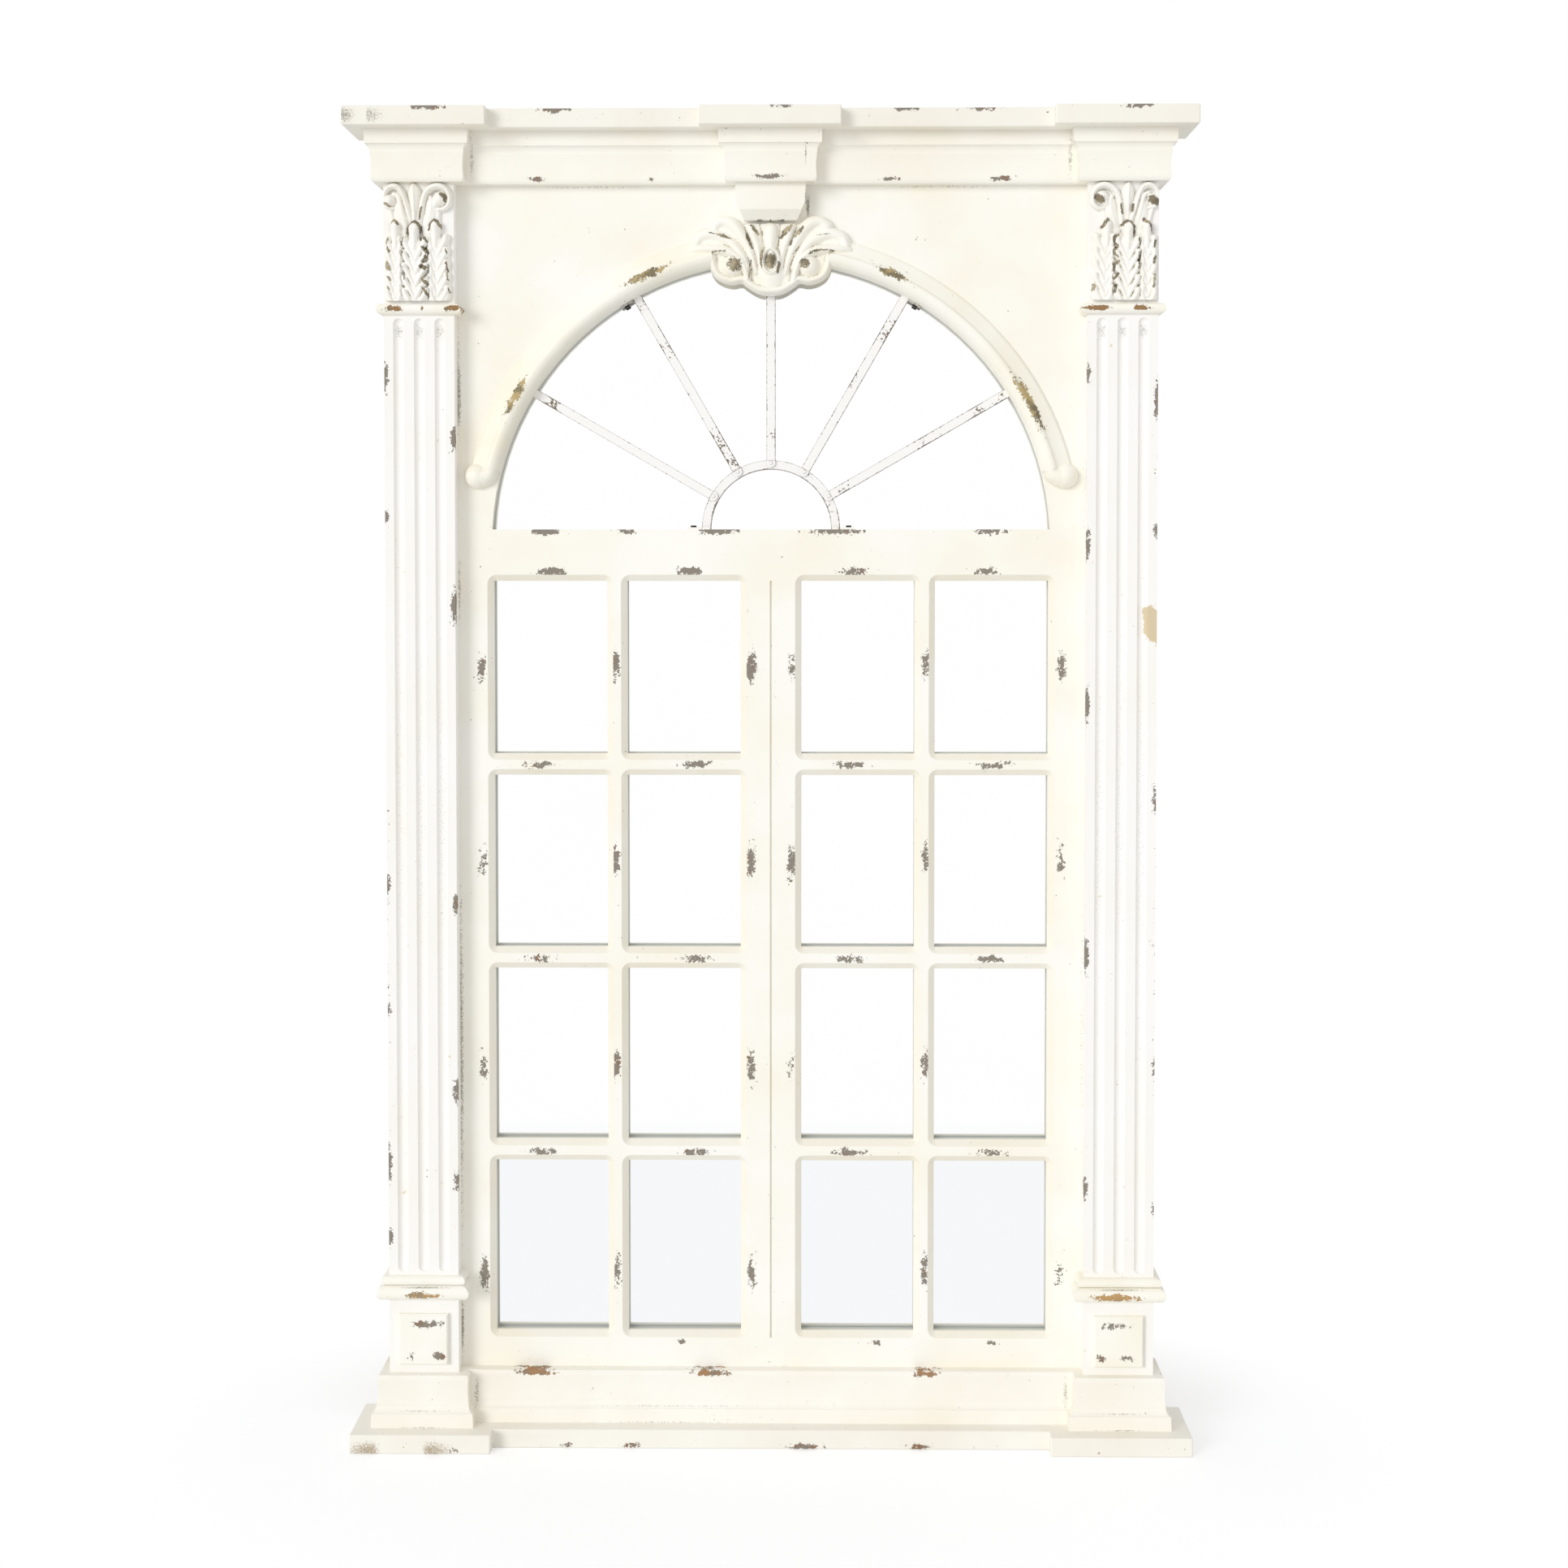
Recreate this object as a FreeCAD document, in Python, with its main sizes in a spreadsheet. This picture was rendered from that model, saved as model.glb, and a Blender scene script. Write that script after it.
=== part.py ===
import FreeCAD
import Part
import math
import os

import Sketcher
from FreeCAD import Placement, Rotation, Vector

# Arched window mirror: a painted wooden frame that stands on the floor against a wall.
# X runs to the right, Y from the front towards the wall, Z up; the origin is on the floor,
# under the middle of the object's box. Lengths are in millimetres.

document = FreeCAD.newDocument("ArchedWindowMirror")
sheet = document.addObject("Spreadsheet::Sheet", "Sizes")
nodes = []


class Size:
    """A length with its value now and the formula that gives it from the sheet."""

    def __init__(self, value, formula):
        self.value = value
        self.formula = formula

    def __add__(self, other):
        other = as_size(other)
        return Size(self.value + other.value, f"({self.formula} + {other.formula})")

    def __sub__(self, other):
        other = as_size(other)
        return Size(self.value - other.value, f"({self.formula} - {other.formula})")

    def __mul__(self, factor):
        factor = as_size(factor)
        return Size(self.value * factor.value, f"({self.formula} * {factor.formula})")

    def __truediv__(self, factor):
        factor = as_size(factor)
        return Size(self.value / factor.value, f"({self.formula} / {factor.formula})")

    def __neg__(self):
        return Size(-self.value, f"(-1 * {self.formula})")

    def root(self):
        return Size(math.sqrt(self.value), f"sqrt({self.formula})")

    def angle_from(self, upright):
        """The angle off the upright of a line this far across and that far up."""
        return Size(math.degrees(math.atan2(self.value, upright.value)),
                    f"atan2({self.formula}; {upright.formula})")


def as_size(number):
    return number if isinstance(number, Size) else Size(number, f"{number:.12g}")


def size(alias, value):
    """Writes one driving dimension on the sheet."""
    row = len(sheet.getUsedCells()) // 2 + 1
    sheet.set(f"A{row}", alias)
    sheet.set(f"B{row}", str(value))
    sheet.setAlias(f"B{row}", alias)
    return Size(value, f"Sizes.{alias}")


# ---------------------------------------------------------------- driving dimensions

height = size("height", 1829)

# slabs at the head and foot: boards whose front edge breaks forward over the blocks
slab_width = size("slab_width", 1150)
slab_thickness = size("slab_thickness", 26)
slab_overhang = size("slab_overhang", 25)
slab_break = size("slab_break", 23)
slab_rounding = size("slab_rounding", 2)
end_break_width = size("end_break_width", 193)
middle_break_width = size("middle_break_width", 192)

# one moulding section serves the head and, upside down, the foot
moulding_proud = size("moulding_proud", 12.5)
nose_rise = size("nose_rise", 7)
nose_swell = size("nose_swell", 2.2)
nose_radius = size("nose_radius", 9)
scoop_rise = size("scoop_rise", 33)
scoop_gain = size("scoop_gain", 1)
scoop_radius = size("scoop_radius", 120)
cove_rise = size("cove_rise", 10.5)
cove_depth = size("cove_depth", 5)
cove_radius = size("cove_radius", 10)
fascia_step = size("fascia_step", 1)
fascia_rise = size("fascia_rise", 19.5)
fascia_taper = size("fascia_taper", 0.8)
run_setback = size("run_setback", 23)

# pilasters with three flutes, a necking bead and a two-step torus each
pilaster_width = size("pilaster_width", 96)
pilaster_thickness = size("pilaster_thickness", 27)
flute_width = size("flute_width", 14.7)
flute_depth = size("flute_depth", 5)
flute_pitch = size("flute_pitch", 28.3)
flute_margin = size("flute_margin", 4)
capital_height = size("capital_height", 164)
necking_rise = size("necking_rise", 15)
necking_proud = size("necking_proud", 9.5)
pedestal_height = size("pedestal_height", 103.5)
torus_rise = size("torus_rise", 19.5)
torus_proud = size("torus_proud", 15.8)
collar_rise = size("collar_rise", 13)
collar_proud = size("collar_proud", 10)
tablet_width = size("tablet_width", 68)
tablet_height = size("tablet_height", 71)
tablet_thickness = size("tablet_thickness", 7)
tablet_drop = size("tablet_drop", 12)
tablet_chamfer = size("tablet_chamfer", 2)

# face panel with sixteen bevelled openings and the arched one
panel_thickness = size("panel_thickness", 22)
pane_width = size("pane_width", 156.5)
pane_height = size("pane_height", 239)
pane_bar_width = size("pane_bar_width", 28)
pane_rail_height = size("pane_rail_height", 30)
meeting_stile_width = size("meeting_stile_width", 84)
bottom_rail_height = size("bottom_rail_height", 49)
transom_height = size("transom_height", 71)
bevel_width = size("bevel_width", 8.5)
bevel_depth = size("bevel_depth", 7)
bevel_corner = size("bevel_corner", 13)
bevel_root = size("bevel_root", 3)
groove_width = size("groove_width", 2.7)
groove_depth = size("groove_depth", 3)
arch_radius = size("arch_radius", 385)
arch_drop = size("arch_drop", 18)

# moulding round the arch, with a scroll ball at each foot
arch_lip = size("arch_lip", 5)
arch_ridge_height = size("arch_ridge_height", 18)
arch_ridge_reach = size("arch_ridge_reach", 19)
arch_moulding_width = size("arch_moulding_width", 41)
arch_hem = size("arch_hem", 3.5)
arch_swell_radius = size("arch_swell_radius", 22)
arch_hollow_radius = size("arch_hollow_radius", 60)
scroll_x = size("scroll_x", 405.5)
scroll_rise = size("scroll_rise", 75)
scroll_radius = size("scroll_radius", 17)
scroll_curl_radius = size("scroll_curl_radius", 9)

# keystone block and shell over the crown of the arch
keystone_width = size("keystone_width", 96)
keystone_drop = size("keystone_drop", 49)
keystone_foot = size("keystone_foot", 12)
keystone_slope = size("keystone_slope", 25)
keystone_undercut = size("keystone_undercut", 13)
shell_focus_rise = size("shell_focus_rise", 348)
shell_relief = size("shell_relief", 20)
shell_bowl_radius = size("shell_bowl_radius", 31)
shell_eye_x = size("shell_eye_x", 48)
shell_eye_rise = size("shell_eye_rise", 13)
shell_eye_radius = size("shell_eye_radius", 12)
shell_scroll_radius = size("shell_scroll_radius", 29)
shell_boss_width = size("shell_boss_width", 25)
shell_boss_height = size("shell_boss_height", 35)
shell_petal_root = size("shell_petal_root", 7)
crown_petal_x = size("crown_petal_x", 27)
crown_petal_rise = size("crown_petal_rise", 58)
crown_petal_radius = size("crown_petal_radius", 13)
high_petal_x = size("high_petal_x", 63)
high_petal_rise = size("high_petal_rise", 60)
high_petal_radius = size("high_petal_radius", 20)
low_petal_x = size("low_petal_x", 92)
low_petal_rise = size("low_petal_rise", 43)
low_petal_radius = size("low_petal_radius", 19)

# acanthus leaves and volutes of the capitals
LOBES = 5
LOBE_SHARE = 0.155
FIRST_LOBE_SHARE = 0.05
VALLEY_SHARE = 0.36
leaf_height = size("leaf_height", 107)
leaf_width = size("leaf_width", 38)
leaf_seat = size("leaf_seat", 3)
leaf_spacing = size("leaf_spacing", 28)
leaf_relief = size("leaf_relief", 9)
leaf_tip_radius = size("leaf_tip_radius", 8)
leaf_rib_radius = size("leaf_rib_radius", 4)
volute_radius = size("volute_radius", 15)
volute_x = size("volute_x", 31)
volute_drop = size("volute_drop", 20)
volute_relief = size("volute_relief", 14)
stem_width = size("stem_width", 17)
bud_radius = size("bud_radius", 11)
bud_height = size("bud_height", 60)

# iron fan in the arch: a half ring on two feet, and five spokes riveted to it
iron_thickness = size("iron_thickness", 3)
iron_width = size("iron_width", 12)
hub_radius = size("hub_radius", 95.5)
fan_setback = size("fan_setback", 7)
foot_length = size("foot_length", 20)
rivet_radius = size("rivet_radius", 2)
rivet_head_radius = size("rivet_head_radius", 3.2)
rivet_head_height = size("rivet_head_height", 1.6)
iron_screw_radius = size("iron_screw_radius", 1.75)
iron_screw_length = size("iron_screw_length", 15)
iron_screw_head_radius = size("iron_screw_head_radius", 3.6)
iron_screw_head_height = size("iron_screw_head_height", 2.6)

# mirrors, backing boards and the frame behind the panel
batten_thickness = size("batten_thickness", 17.5)
batten_width = size("batten_width", 110)
glass_thickness = size("glass_thickness", 4)
glass_lap = size("glass_lap", 14)
glass_clearance = size("glass_clearance", 1.5)
backing_thickness = size("backing_thickness", 3)
strip_width = size("strip_width", 12)
strip_thickness = size("strip_thickness", 8)
frame_screw_radius = size("frame_screw_radius", 2)
frame_screw_length = size("frame_screw_length", 30)
frame_screw_head_radius = size("frame_screw_head_radius", 4)
frame_screw_head_height = size("frame_screw_head_height", 2.4)
hanger_width = size("hanger_width", 20)
hanger_height = size("hanger_height", 52)
hanger_thickness = size("hanger_thickness", 1.6)
hanger_drop = size("hanger_drop", 180)
keyhole_entry_radius = size("keyhole_entry_radius", 5)
keyhole_slot_radius = size("keyhole_slot_radius", 2.5)
keyhole_travel = size("keyhole_travel", 12)
keyhole_pocket_depth = size("keyhole_pocket_depth", 10)
hanger_screw_radius = size("hanger_screw_radius", 1.75)
hanger_screw_length = size("hanger_screw_length", 14)
hanger_screw_spacing = size("hanger_screw_spacing", 42)

# ---------------------------------------------------------------- places worked out from them

moulding_flare = nose_swell + scoop_gain + cove_depth + fascia_step + fascia_taper
moulding_rise = nose_rise + scoop_rise + cove_rise + fascia_rise
depth = (slab_overhang + moulding_flare + moulding_proud + pilaster_thickness
         + panel_thickness + batten_thickness)

front = -depth / 2
wall = depth / 2
pilaster_face = front + slab_overhang + moulding_flare + moulding_proud
panel_face = pilaster_face + pilaster_thickness
panel_back = panel_face + panel_thickness
run_core = pilaster_face + run_setback

pilaster_x = (slab_width / 2 - slab_overhang - moulding_flare - moulding_proud
              - pilaster_width / 2)
panel_half = pilaster_x + pilaster_width / 2

head_top = height - slab_thickness
head_bottom = head_top - moulding_rise
foot_bottom = slab_thickness
foot_top = foot_bottom + moulding_rise
necking_top = head_bottom - capital_height
necking_bottom = necking_top - necking_rise
torus_bottom = foot_top + pedestal_height
collar_bottom = torus_bottom + torus_rise
collar_top = collar_bottom + collar_rise

pane_bottom = foot_top + bottom_rail_height
pane_pitch = pane_height + pane_rail_height
pane_top = pane_bottom + pane_pitch * 3 + pane_height
sill = pane_top + transom_height
arch_centre = sill - arch_drop
arch_crown = arch_centre + arch_radius
beyond = as_size(5)


# ---------------------------------------------------------------- building blocks

def bind(thing, prop, length):
    """Ties a property of an object to its formula."""
    length = as_size(length)
    thing.setExpression(prop, length.formula)


def new_body(label):
    made = document.addObject("PartDesign::Body", label)
    made.Label = label
    return made


def new_sketch(body, name, plane, along=0):
    """A sketch on an origin plane of the body, moved along that plane's normal."""
    made = body.newObject("Sketcher::SketchObject", name)
    for feature in body.Origin.OriginFeatures:
        if feature.Role == plane:
            made.AttachmentSupport = [(feature, "")]
    made.MapMode = "FlatFace"
    bind(made, "AttachmentOffset.Base.z", along)
    return made


def front_sketch(body, name, depth_place):
    """A sketch seen from the front, X by Z, at a place in depth."""
    return new_sketch(body, name, "XZ_Plane", -as_size(depth_place))


def arc_between(start, end, radius):
    """The short arc from start to end: counter-clockwise when radius is positive."""
    chord = end - start
    middle = (start + end) / 2
    rise = math.sqrt(max(radius * radius - chord.Length * chord.Length / 4, 0.0))
    left = Vector(-chord.y, chord.x, 0).normalize()
    centre = middle + left * math.copysign(rise, radius)
    low, high = (start, end) if radius > 0 else (end, start)
    first = math.atan2(low.y - centre.y, low.x - centre.x)
    last = math.atan2(high.y - centre.y, high.x - centre.x)
    circle = Part.Circle(centre, Vector(0, 0, 1), abs(radius))
    return Part.ArcOfCircle(circle, first, last)


def draw(sketch, corners):
    """A closed outline through the corners, each (u, v) or, where an arc leaves it, (u, v, radius)."""
    places = [Vector(as_size(corner[0]).value, as_size(corner[1]).value, 0) for corner in corners]
    bends = [corner[2] if len(corner) > 2 else None for corner in corners]
    ends = []
    for index, place in enumerate(places):
        following = places[(index + 1) % len(places)]
        if bends[index] is None:
            edge = sketch.addGeometry(Part.LineSegment(place, following), False)
            ends.append((edge, 1, 2))
        else:
            edge = sketch.addGeometry(arc_between(place, following, bends[index].value), False)
            ends.append((edge, 1, 2) if bends[index].value > 0 else (edge, 2, 1))
            radius = abs(bends[index].value)
            number = sketch.addConstraint(Sketcher.Constraint("Radius", edge, radius))
            bind(sketch, f"Constraints[{number}]",
                 bends[index] if bends[index].value > 0 else -bends[index])
    for index, (edge, start, end) in enumerate(ends):
        after, after_start, after_end = ends[(index + 1) % len(ends)]
        sketch.addConstraint(Sketcher.Constraint("Coincident", edge, end, after, after_start))
        for kind, length in (("DistanceX", corners[index][0]), ("DistanceY", corners[index][1])):
            length = as_size(length)
            rule = Sketcher.Constraint(kind, -1, 1, edge, start, length.value)
            bind(sketch, f"Constraints[{sketch.addConstraint(rule)}]", length)
    return sketch


def draw_box(sketch, left, right, low, high):
    return draw(sketch, [(left, low), (right, low), (right, high), (left, high)])


def draw_circle(sketch, u, v, radius):
    circle = Part.Circle(Vector(as_size(u).value, as_size(v).value, 0), Vector(0, 0, 1), radius.value)
    edge = sketch.addGeometry(circle, False)
    rules = (Sketcher.Constraint("Radius", edge, radius.value),
             Sketcher.Constraint("DistanceX", -1, 1, edge, 3, as_size(u).value),
             Sketcher.Constraint("DistanceY", -1, 1, edge, 3, as_size(v).value))
    for rule, length in zip(rules, (radius, u, v)):
        bind(sketch, f"Constraints[{sketch.addConstraint(rule)}]", length)
    return sketch


def pad(body, sketch, length, reverse=False):
    made = body.newObject("PartDesign::Pad", "Pad")
    made.Profile = sketch
    bind(made, "Length", length)
    made.Reversed = reverse
    body.Tip = made
    return made


def pocket(body, sketch, length=None, reverse=False):
    """A pocket of that depth, or right through both ways where no depth is given."""
    made = body.newObject("PartDesign::Pocket", "Pocket")
    made.Profile = sketch
    if length is None:
        made.Type = "ThroughAll"
        made.SideType = "Symmetric"
    else:
        bind(made, "Length", length)
        made.Reversed = reverse
    body.Tip = made
    return made


def finish(thing, label=None):
    """Takes the object as one of the pieces, under its name."""
    if label:
        thing.Label = label
    nodes.append(thing)
    return thing


def board(label, left, right, near, far, low, high):
    """A plain board between six places."""
    body = new_body(label)
    sketch = draw_box(front_sketch(body, "Face", far), left, right, low, high)
    pad(body, sketch, as_size(far) - near)
    return body


def place(thing, x, y, z):
    bind(thing, "Placement.Base.x", x)
    bind(thing, "Placement.Base.y", y)
    bind(thing, "Placement.Base.z", z)
    return thing


def turn(thing, rotation):
    thing.Placement = Placement(thing.Placement.Base, rotation)
    return thing


def cylinder(radius, length, rotation=None):
    made = document.addObject("Part::Cylinder", "Cylinder")
    bind(made, "Radius", radius)
    bind(made, "Height", length)
    return turn(made, rotation) if rotation else made


def cut(base, tool, label):
    made = document.addObject("Part::Cut", label)
    made.Base = base
    made.Tool = tool
    made.Label = label
    return made


def fuse(shapes, label):
    made = document.addObject("Part::MultiFuse", label)
    made.Shapes = shapes
    made.Label = label
    return made


def group(shapes, label):
    made = document.addObject("Part::Compound", label)
    made.Links = shapes
    made.Label = label
    return made


# ---------------------------------------------------------------- moulding sections
# A section is a list from bottom to top of (projection, height) or (projection, height, bend).

def head_section():
    """Nose, long shallow scoop, cove, step and fascia: wide at the top."""
    swell = moulding_proud + nose_swell
    cove_foot = swell + scoop_gain
    cove_head = cove_foot + cove_depth
    cove_top = nose_rise + scoop_rise + cove_rise
    return [(moulding_proud, 0, nose_radius),
            (swell, nose_rise, -scoop_radius),
            (cove_foot, nose_rise + scoop_rise, -cove_radius),
            (cove_head, cove_top),
            (cove_head + fascia_step, cove_top),
            (moulding_proud + moulding_flare, moulding_rise)]


def upside_down(section, rise):
    """The same section for the foot, wide at the bottom."""
    flipped = []
    for index in range(len(section) - 1, -1, -1):
        projection, level = section[index][:2]
        bend = section[index - 1][2:] if index else ()
        flipped.append((projection, as_size(rise) - level) + bend)
    return flipped


def half_round(start, rise, proud):
    """A rounded nosing, as two quarter arcs on a lip."""
    radius = rise / 2
    lip = proud - radius
    return [(lip, start, radius), (proud, start + radius, radius), (lip, start + rise)]


def rising_edge(side, edge, low, section):
    """Section points up the right (+1) or left (-1) side of a piece whose core ends at edge."""
    points = []
    for projection, level, *bend in section:
        points.append((edge + projection * side, low + level, *[one * side for one in bend]))
    return points


def falling_edge(side, edge, low, section):
    """The same points read from the top down."""
    rising = rising_edge(side, edge, low, section)
    points = []
    for index in range(len(rising) - 1, -1, -1):
        bend = [-one for one in rising[index - 1][2:]] if index else []
        points.append((rising[index][0], rising[index][1], *bend))
    return points


def cut_front(body, core, low, section):
    """Cuts the section along the front of a piece whose core's face is at that depth."""
    far = front - beyond
    high = low + section[-1][1]
    edge = rising_edge(-1, core, low, section)
    outline = [(far, low - beyond), (edge[0][0], low - beyond), *edge,
               (edge[-1][0], high + beyond), (far, high + beyond)]
    pocket(body, draw(new_sketch(body, "Section", "YZ_Plane"), outline))


def wrapped_block(label, side, middle, core_width, low, section, core=None, run_back=None):
    """A moulding mitred round three sides of an upright; its outer return runs to the wall."""
    body = new_body(label)
    core = core or pilaster_face
    run_back = run_back or panel_face
    half = core_width / 2
    outline = (rising_edge(1, middle + half, low, section)
               + falling_edge(-1, middle - half, low, section))
    pad(body, draw(front_sketch(body, "Elevation", wall), outline), wall - front)
    cut_front(body, core, low, section)
    reach = half + slab_overhang + moulding_flare + moulding_proud
    outer, inner = middle + half * side, middle - half * side
    plan = new_sketch(body, "Core", "XY_Plane")
    if side:
        draw(plan, [(outer, core), (outer, wall + beyond), (middle - reach * side, wall + beyond),
                    (middle - reach * side, run_back), (inner, run_back), (inner, core)])
    else:
        draw(plan, [(middle - half, core), (middle + half, core), (middle + half, run_back),
                    (middle + reach, run_back), (middle + reach, wall + beyond),
                    (middle - reach, wall + beyond), (middle - reach, run_back),
                    (middle - half, run_back)])
    pocket(body, plan)
    return finish(body)


def coped_run(label, left_edge, right_edge, low, section):
    """A length of moulding scribed to the returns of the two blocks that it runs between."""
    body = new_body(label)
    outline = (rising_edge(-1, right_edge, low, section)
               + falling_edge(1, left_edge, low, section))
    pad(body, draw(front_sketch(body, "Elevation", panel_face), outline), panel_face - front)
    cut_front(body, run_core, low, section)
    return finish(body)


head = head_section()
foot = upside_down(head, moulding_rise)
necking = half_round(as_size(0), necking_rise, necking_proud)
torus = (half_round(as_size(0), torus_rise, torus_proud)
         + half_round(torus_rise, collar_rise, collar_proud))


# ---------------------------------------------------------------- slabs

def slab(label, low, breaks):
    """A board as deep as the object, whose front edge stands forward at each break."""
    body = new_body(label)
    plan = new_sketch(body, "Plan", "XY_Plane", low)
    half = slab_width / 2
    outline = [(half, wall), (-half, wall)]
    for left, right in breaks:
        if left is not None:
            outline += [(left, front + slab_break), (left, front)]
        else:
            outline += [(-half, front)]
        if right is not None:
            outline += [(right, front), (right, front + slab_break)]
        else:
            outline += [(half, front)]
    plank = pad(body, draw(plan, outline), slab_thickness)
    document.recompute()
    edges = [f"Edge{number}" for number, edge in enumerate(plank.Shape.Edges, 1)
             if edge.BoundBox.YMin < wall.value - slab_rounding.value]
    rounding = body.newObject("PartDesign::Fillet", "Rounding")
    rounding.Base = (plank, edges)
    bind(rounding, "Radius", slab_rounding)
    body.Tip = rounding
    return finish(body)


end_break = slab_width / 2 - end_break_width
slab("crown_slab", head_top, [(None, -end_break),
                              (-middle_break_width / 2, middle_break_width / 2),
                              (end_break, None)])
slab("base_slab", as_size(0), [(None, -end_break), (end_break, None)])


# ---------------------------------------------------------------- pilasters and their mouldings

def pilaster(side_name, side):
    """A board with three round-bottomed flutes that stop short of the mouldings."""
    middle = pilaster_x * side
    half = pilaster_width / 2
    body = board(f"pilaster_{side_name}", middle - half, middle + half,
                 pilaster_face, panel_face, foot_bottom, head_top)
    radius = (flute_width * flute_width / 4 + flute_depth * flute_depth) / (flute_depth * 2)
    low = collar_top + flute_margin
    high = necking_bottom - flute_margin
    profile = new_sketch(body, "FluteProfile", "YZ_Plane", middle - flute_pitch)
    bind(profile, "AttachmentOffset.Base.x", pilaster_face + flute_depth - radius)
    draw(profile, [(0, low, radius), (radius, low + radius),
                   (radius, high - radius, radius), (0, high)])
    flute = body.newObject("PartDesign::Groove", "Flute")
    flute.Profile = profile
    flute.ReferenceAxis = (profile, ["V_Axis"])
    flute.Angle = 360
    body.Tip = flute
    document.recompute()
    row = body.newObject("PartDesign::LinearPattern", "Flutes")
    row.Originals = [flute]
    row.Direction = (profile, ["N_Axis"])
    bind(row, "Length", flute_pitch * 2)
    row.Occurrences = 3
    body.Tip = row
    return finish(body)


def tablet(side_name, side):
    """The raised square on the pedestal's face, with a small chamfer round it."""
    middle = pilaster_x * side
    half = tablet_width / 2
    low = foot_top + tablet_drop
    body = board(f"tablet_{side_name}", middle - half, middle + half,
                 pilaster_face - tablet_thickness, pilaster_face, low, low + tablet_height)
    document.recompute()
    square = body.Tip
    faces = square.Shape.Faces
    front_face = min(range(len(faces)), key=lambda number: faces[number].CenterOfMass.y)
    chamfer = body.newObject("PartDesign::Chamfer", "Edge")
    chamfer.Base = (square, [f"Face{front_face + 1}"])
    bind(chamfer, "Size", tablet_chamfer)
    body.Tip = chamfer
    return finish(body)


for side_name, side in (("left", -1), ("right", 1)):
    middle = pilaster_x * side
    pilaster(side_name, side)
    tablet(side_name, side)
    wrapped_block(f"crown_block_{side_name}", side, middle, pilaster_width, head_bottom, head)
    wrapped_block(f"base_block_{side_name}", side, middle, pilaster_width, foot_bottom, foot)
    wrapped_block(f"necking_bead_{side_name}", side, middle, pilaster_width, necking_bottom, necking)
    wrapped_block(f"base_torus_{side_name}", side, middle, pilaster_width, torus_bottom, torus)

wrapped_block("crown_block_centre", 0, as_size(0), keystone_width, head_bottom, head)
pilaster_inner = pilaster_x - pilaster_width / 2
coped_run("crown_run_left", -pilaster_inner, -keystone_width / 2, head_bottom, head)
coped_run("crown_run_right", keystone_width / 2, pilaster_inner, head_bottom, head)
coped_run("base_run", -pilaster_inner, pilaster_inner, foot_bottom, foot)


# ---------------------------------------------------------------- keystone

def keystone():
    """A block that narrows to its foot on both sides and is undercut at the front."""
    half = keystone_width / 2
    foot_half = half - keystone_foot
    low = head_bottom - keystone_drop
    body = new_body("keystone")
    outline = [(-foot_half, low), (foot_half, low), (half, low + keystone_slope), (half, head_top),
               (-half, head_top), (-half, low + keystone_slope)]
    pad(body, draw(front_sketch(body, "Elevation", panel_face), outline), pilaster_thickness)
    bend = [(pilaster_face - beyond, low - beyond), (pilaster_face + keystone_foot, low - beyond),
            (pilaster_face + keystone_foot, low), (pilaster_face, low + keystone_undercut),
            (pilaster_face - beyond, low + keystone_undercut)]
    pocket(body, draw(new_sketch(body, "Undercut", "YZ_Plane"), bend))
    return finish(body)


keystone()


# ---------------------------------------------------------------- face panel

def rounded_box(sketch, left, right, low, high, radius):
    """A box with quarter-round corners, drawn counter-clockwise."""
    return draw(sketch, [(left + radius, low), (right - radius, low, radius),
                         (right, low + radius), (right, high - radius, radius),
                         (right - radius, high), (left + radius, high, radius),
                         (left, high - radius), (left, low + radius, radius)])


def face_panel():
    """One board: the arched opening, sixteen square ones with a bevel worked round each, and a
    groove down the middle that stands for the joint of two casements."""
    body = board("face_panel_blank", -panel_half, panel_half, panel_face, panel_back,
                 foot_bottom, head_top)
    spring = (arch_radius * arch_radius - arch_drop * arch_drop).root()
    arch = front_sketch(body, "Arch", panel_back)
    draw(arch, [(-spring, sill), (spring, sill, arch_radius),
                (0, arch_crown, arch_radius)])
    pocket(body, arch)
    left = meeting_stile_width / 2
    right = left + pane_width
    high = pane_bottom + pane_height
    opening = draw_box(front_sketch(body, "Opening", panel_back), left, right, pane_bottom, high)
    through = pocket(body, opening)
    outer = rounded_box(front_sketch(body, "BevelFace", panel_face), left - bevel_width,
                        right + bevel_width, pane_bottom - bevel_width, high + bevel_width,
                        bevel_corner)
    inner = rounded_box(front_sketch(body, "BevelRoot", panel_face + bevel_depth), left, right,
                        pane_bottom, high, bevel_root)
    bevel = body.newObject("PartDesign::SubtractiveLoft", "Bevel")
    bevel.Profile = outer
    bevel.Sections = [inner]
    bevel.Ruled = True
    body.Tip = bevel
    document.recompute()
    every_pane = body.newObject("PartDesign::MultiTransform", "Panes")
    grid = body.newObject("PartDesign::LinearPattern", "Grid")
    grid.Direction = (opening, ["H_Axis"])
    bind(grid, "Length", pane_width + pane_bar_width)
    grid.Occurrences = 2
    grid.Direction2 = (opening, ["V_Axis"])
    bind(grid, "Length2", pane_pitch * 3)
    grid.Occurrences2 = 4
    both_sides = body.newObject("PartDesign::Mirrored", "BothSides")
    both_sides.MirrorPlane = (opening, ["V_Axis"])
    every_pane.Originals = [through, bevel]
    every_pane.Transformations = [grid, both_sides]
    body.Tip = every_pane
    groove = draw_box(front_sketch(body, "Groove", panel_face), -groove_width / 2, groove_width / 2,
                      pane_bottom - bevel_width, pane_top)
    pocket(body, groove, groove_depth)
    return body


# ---------------------------------------------------------------- shell over the arch's crown

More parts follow.
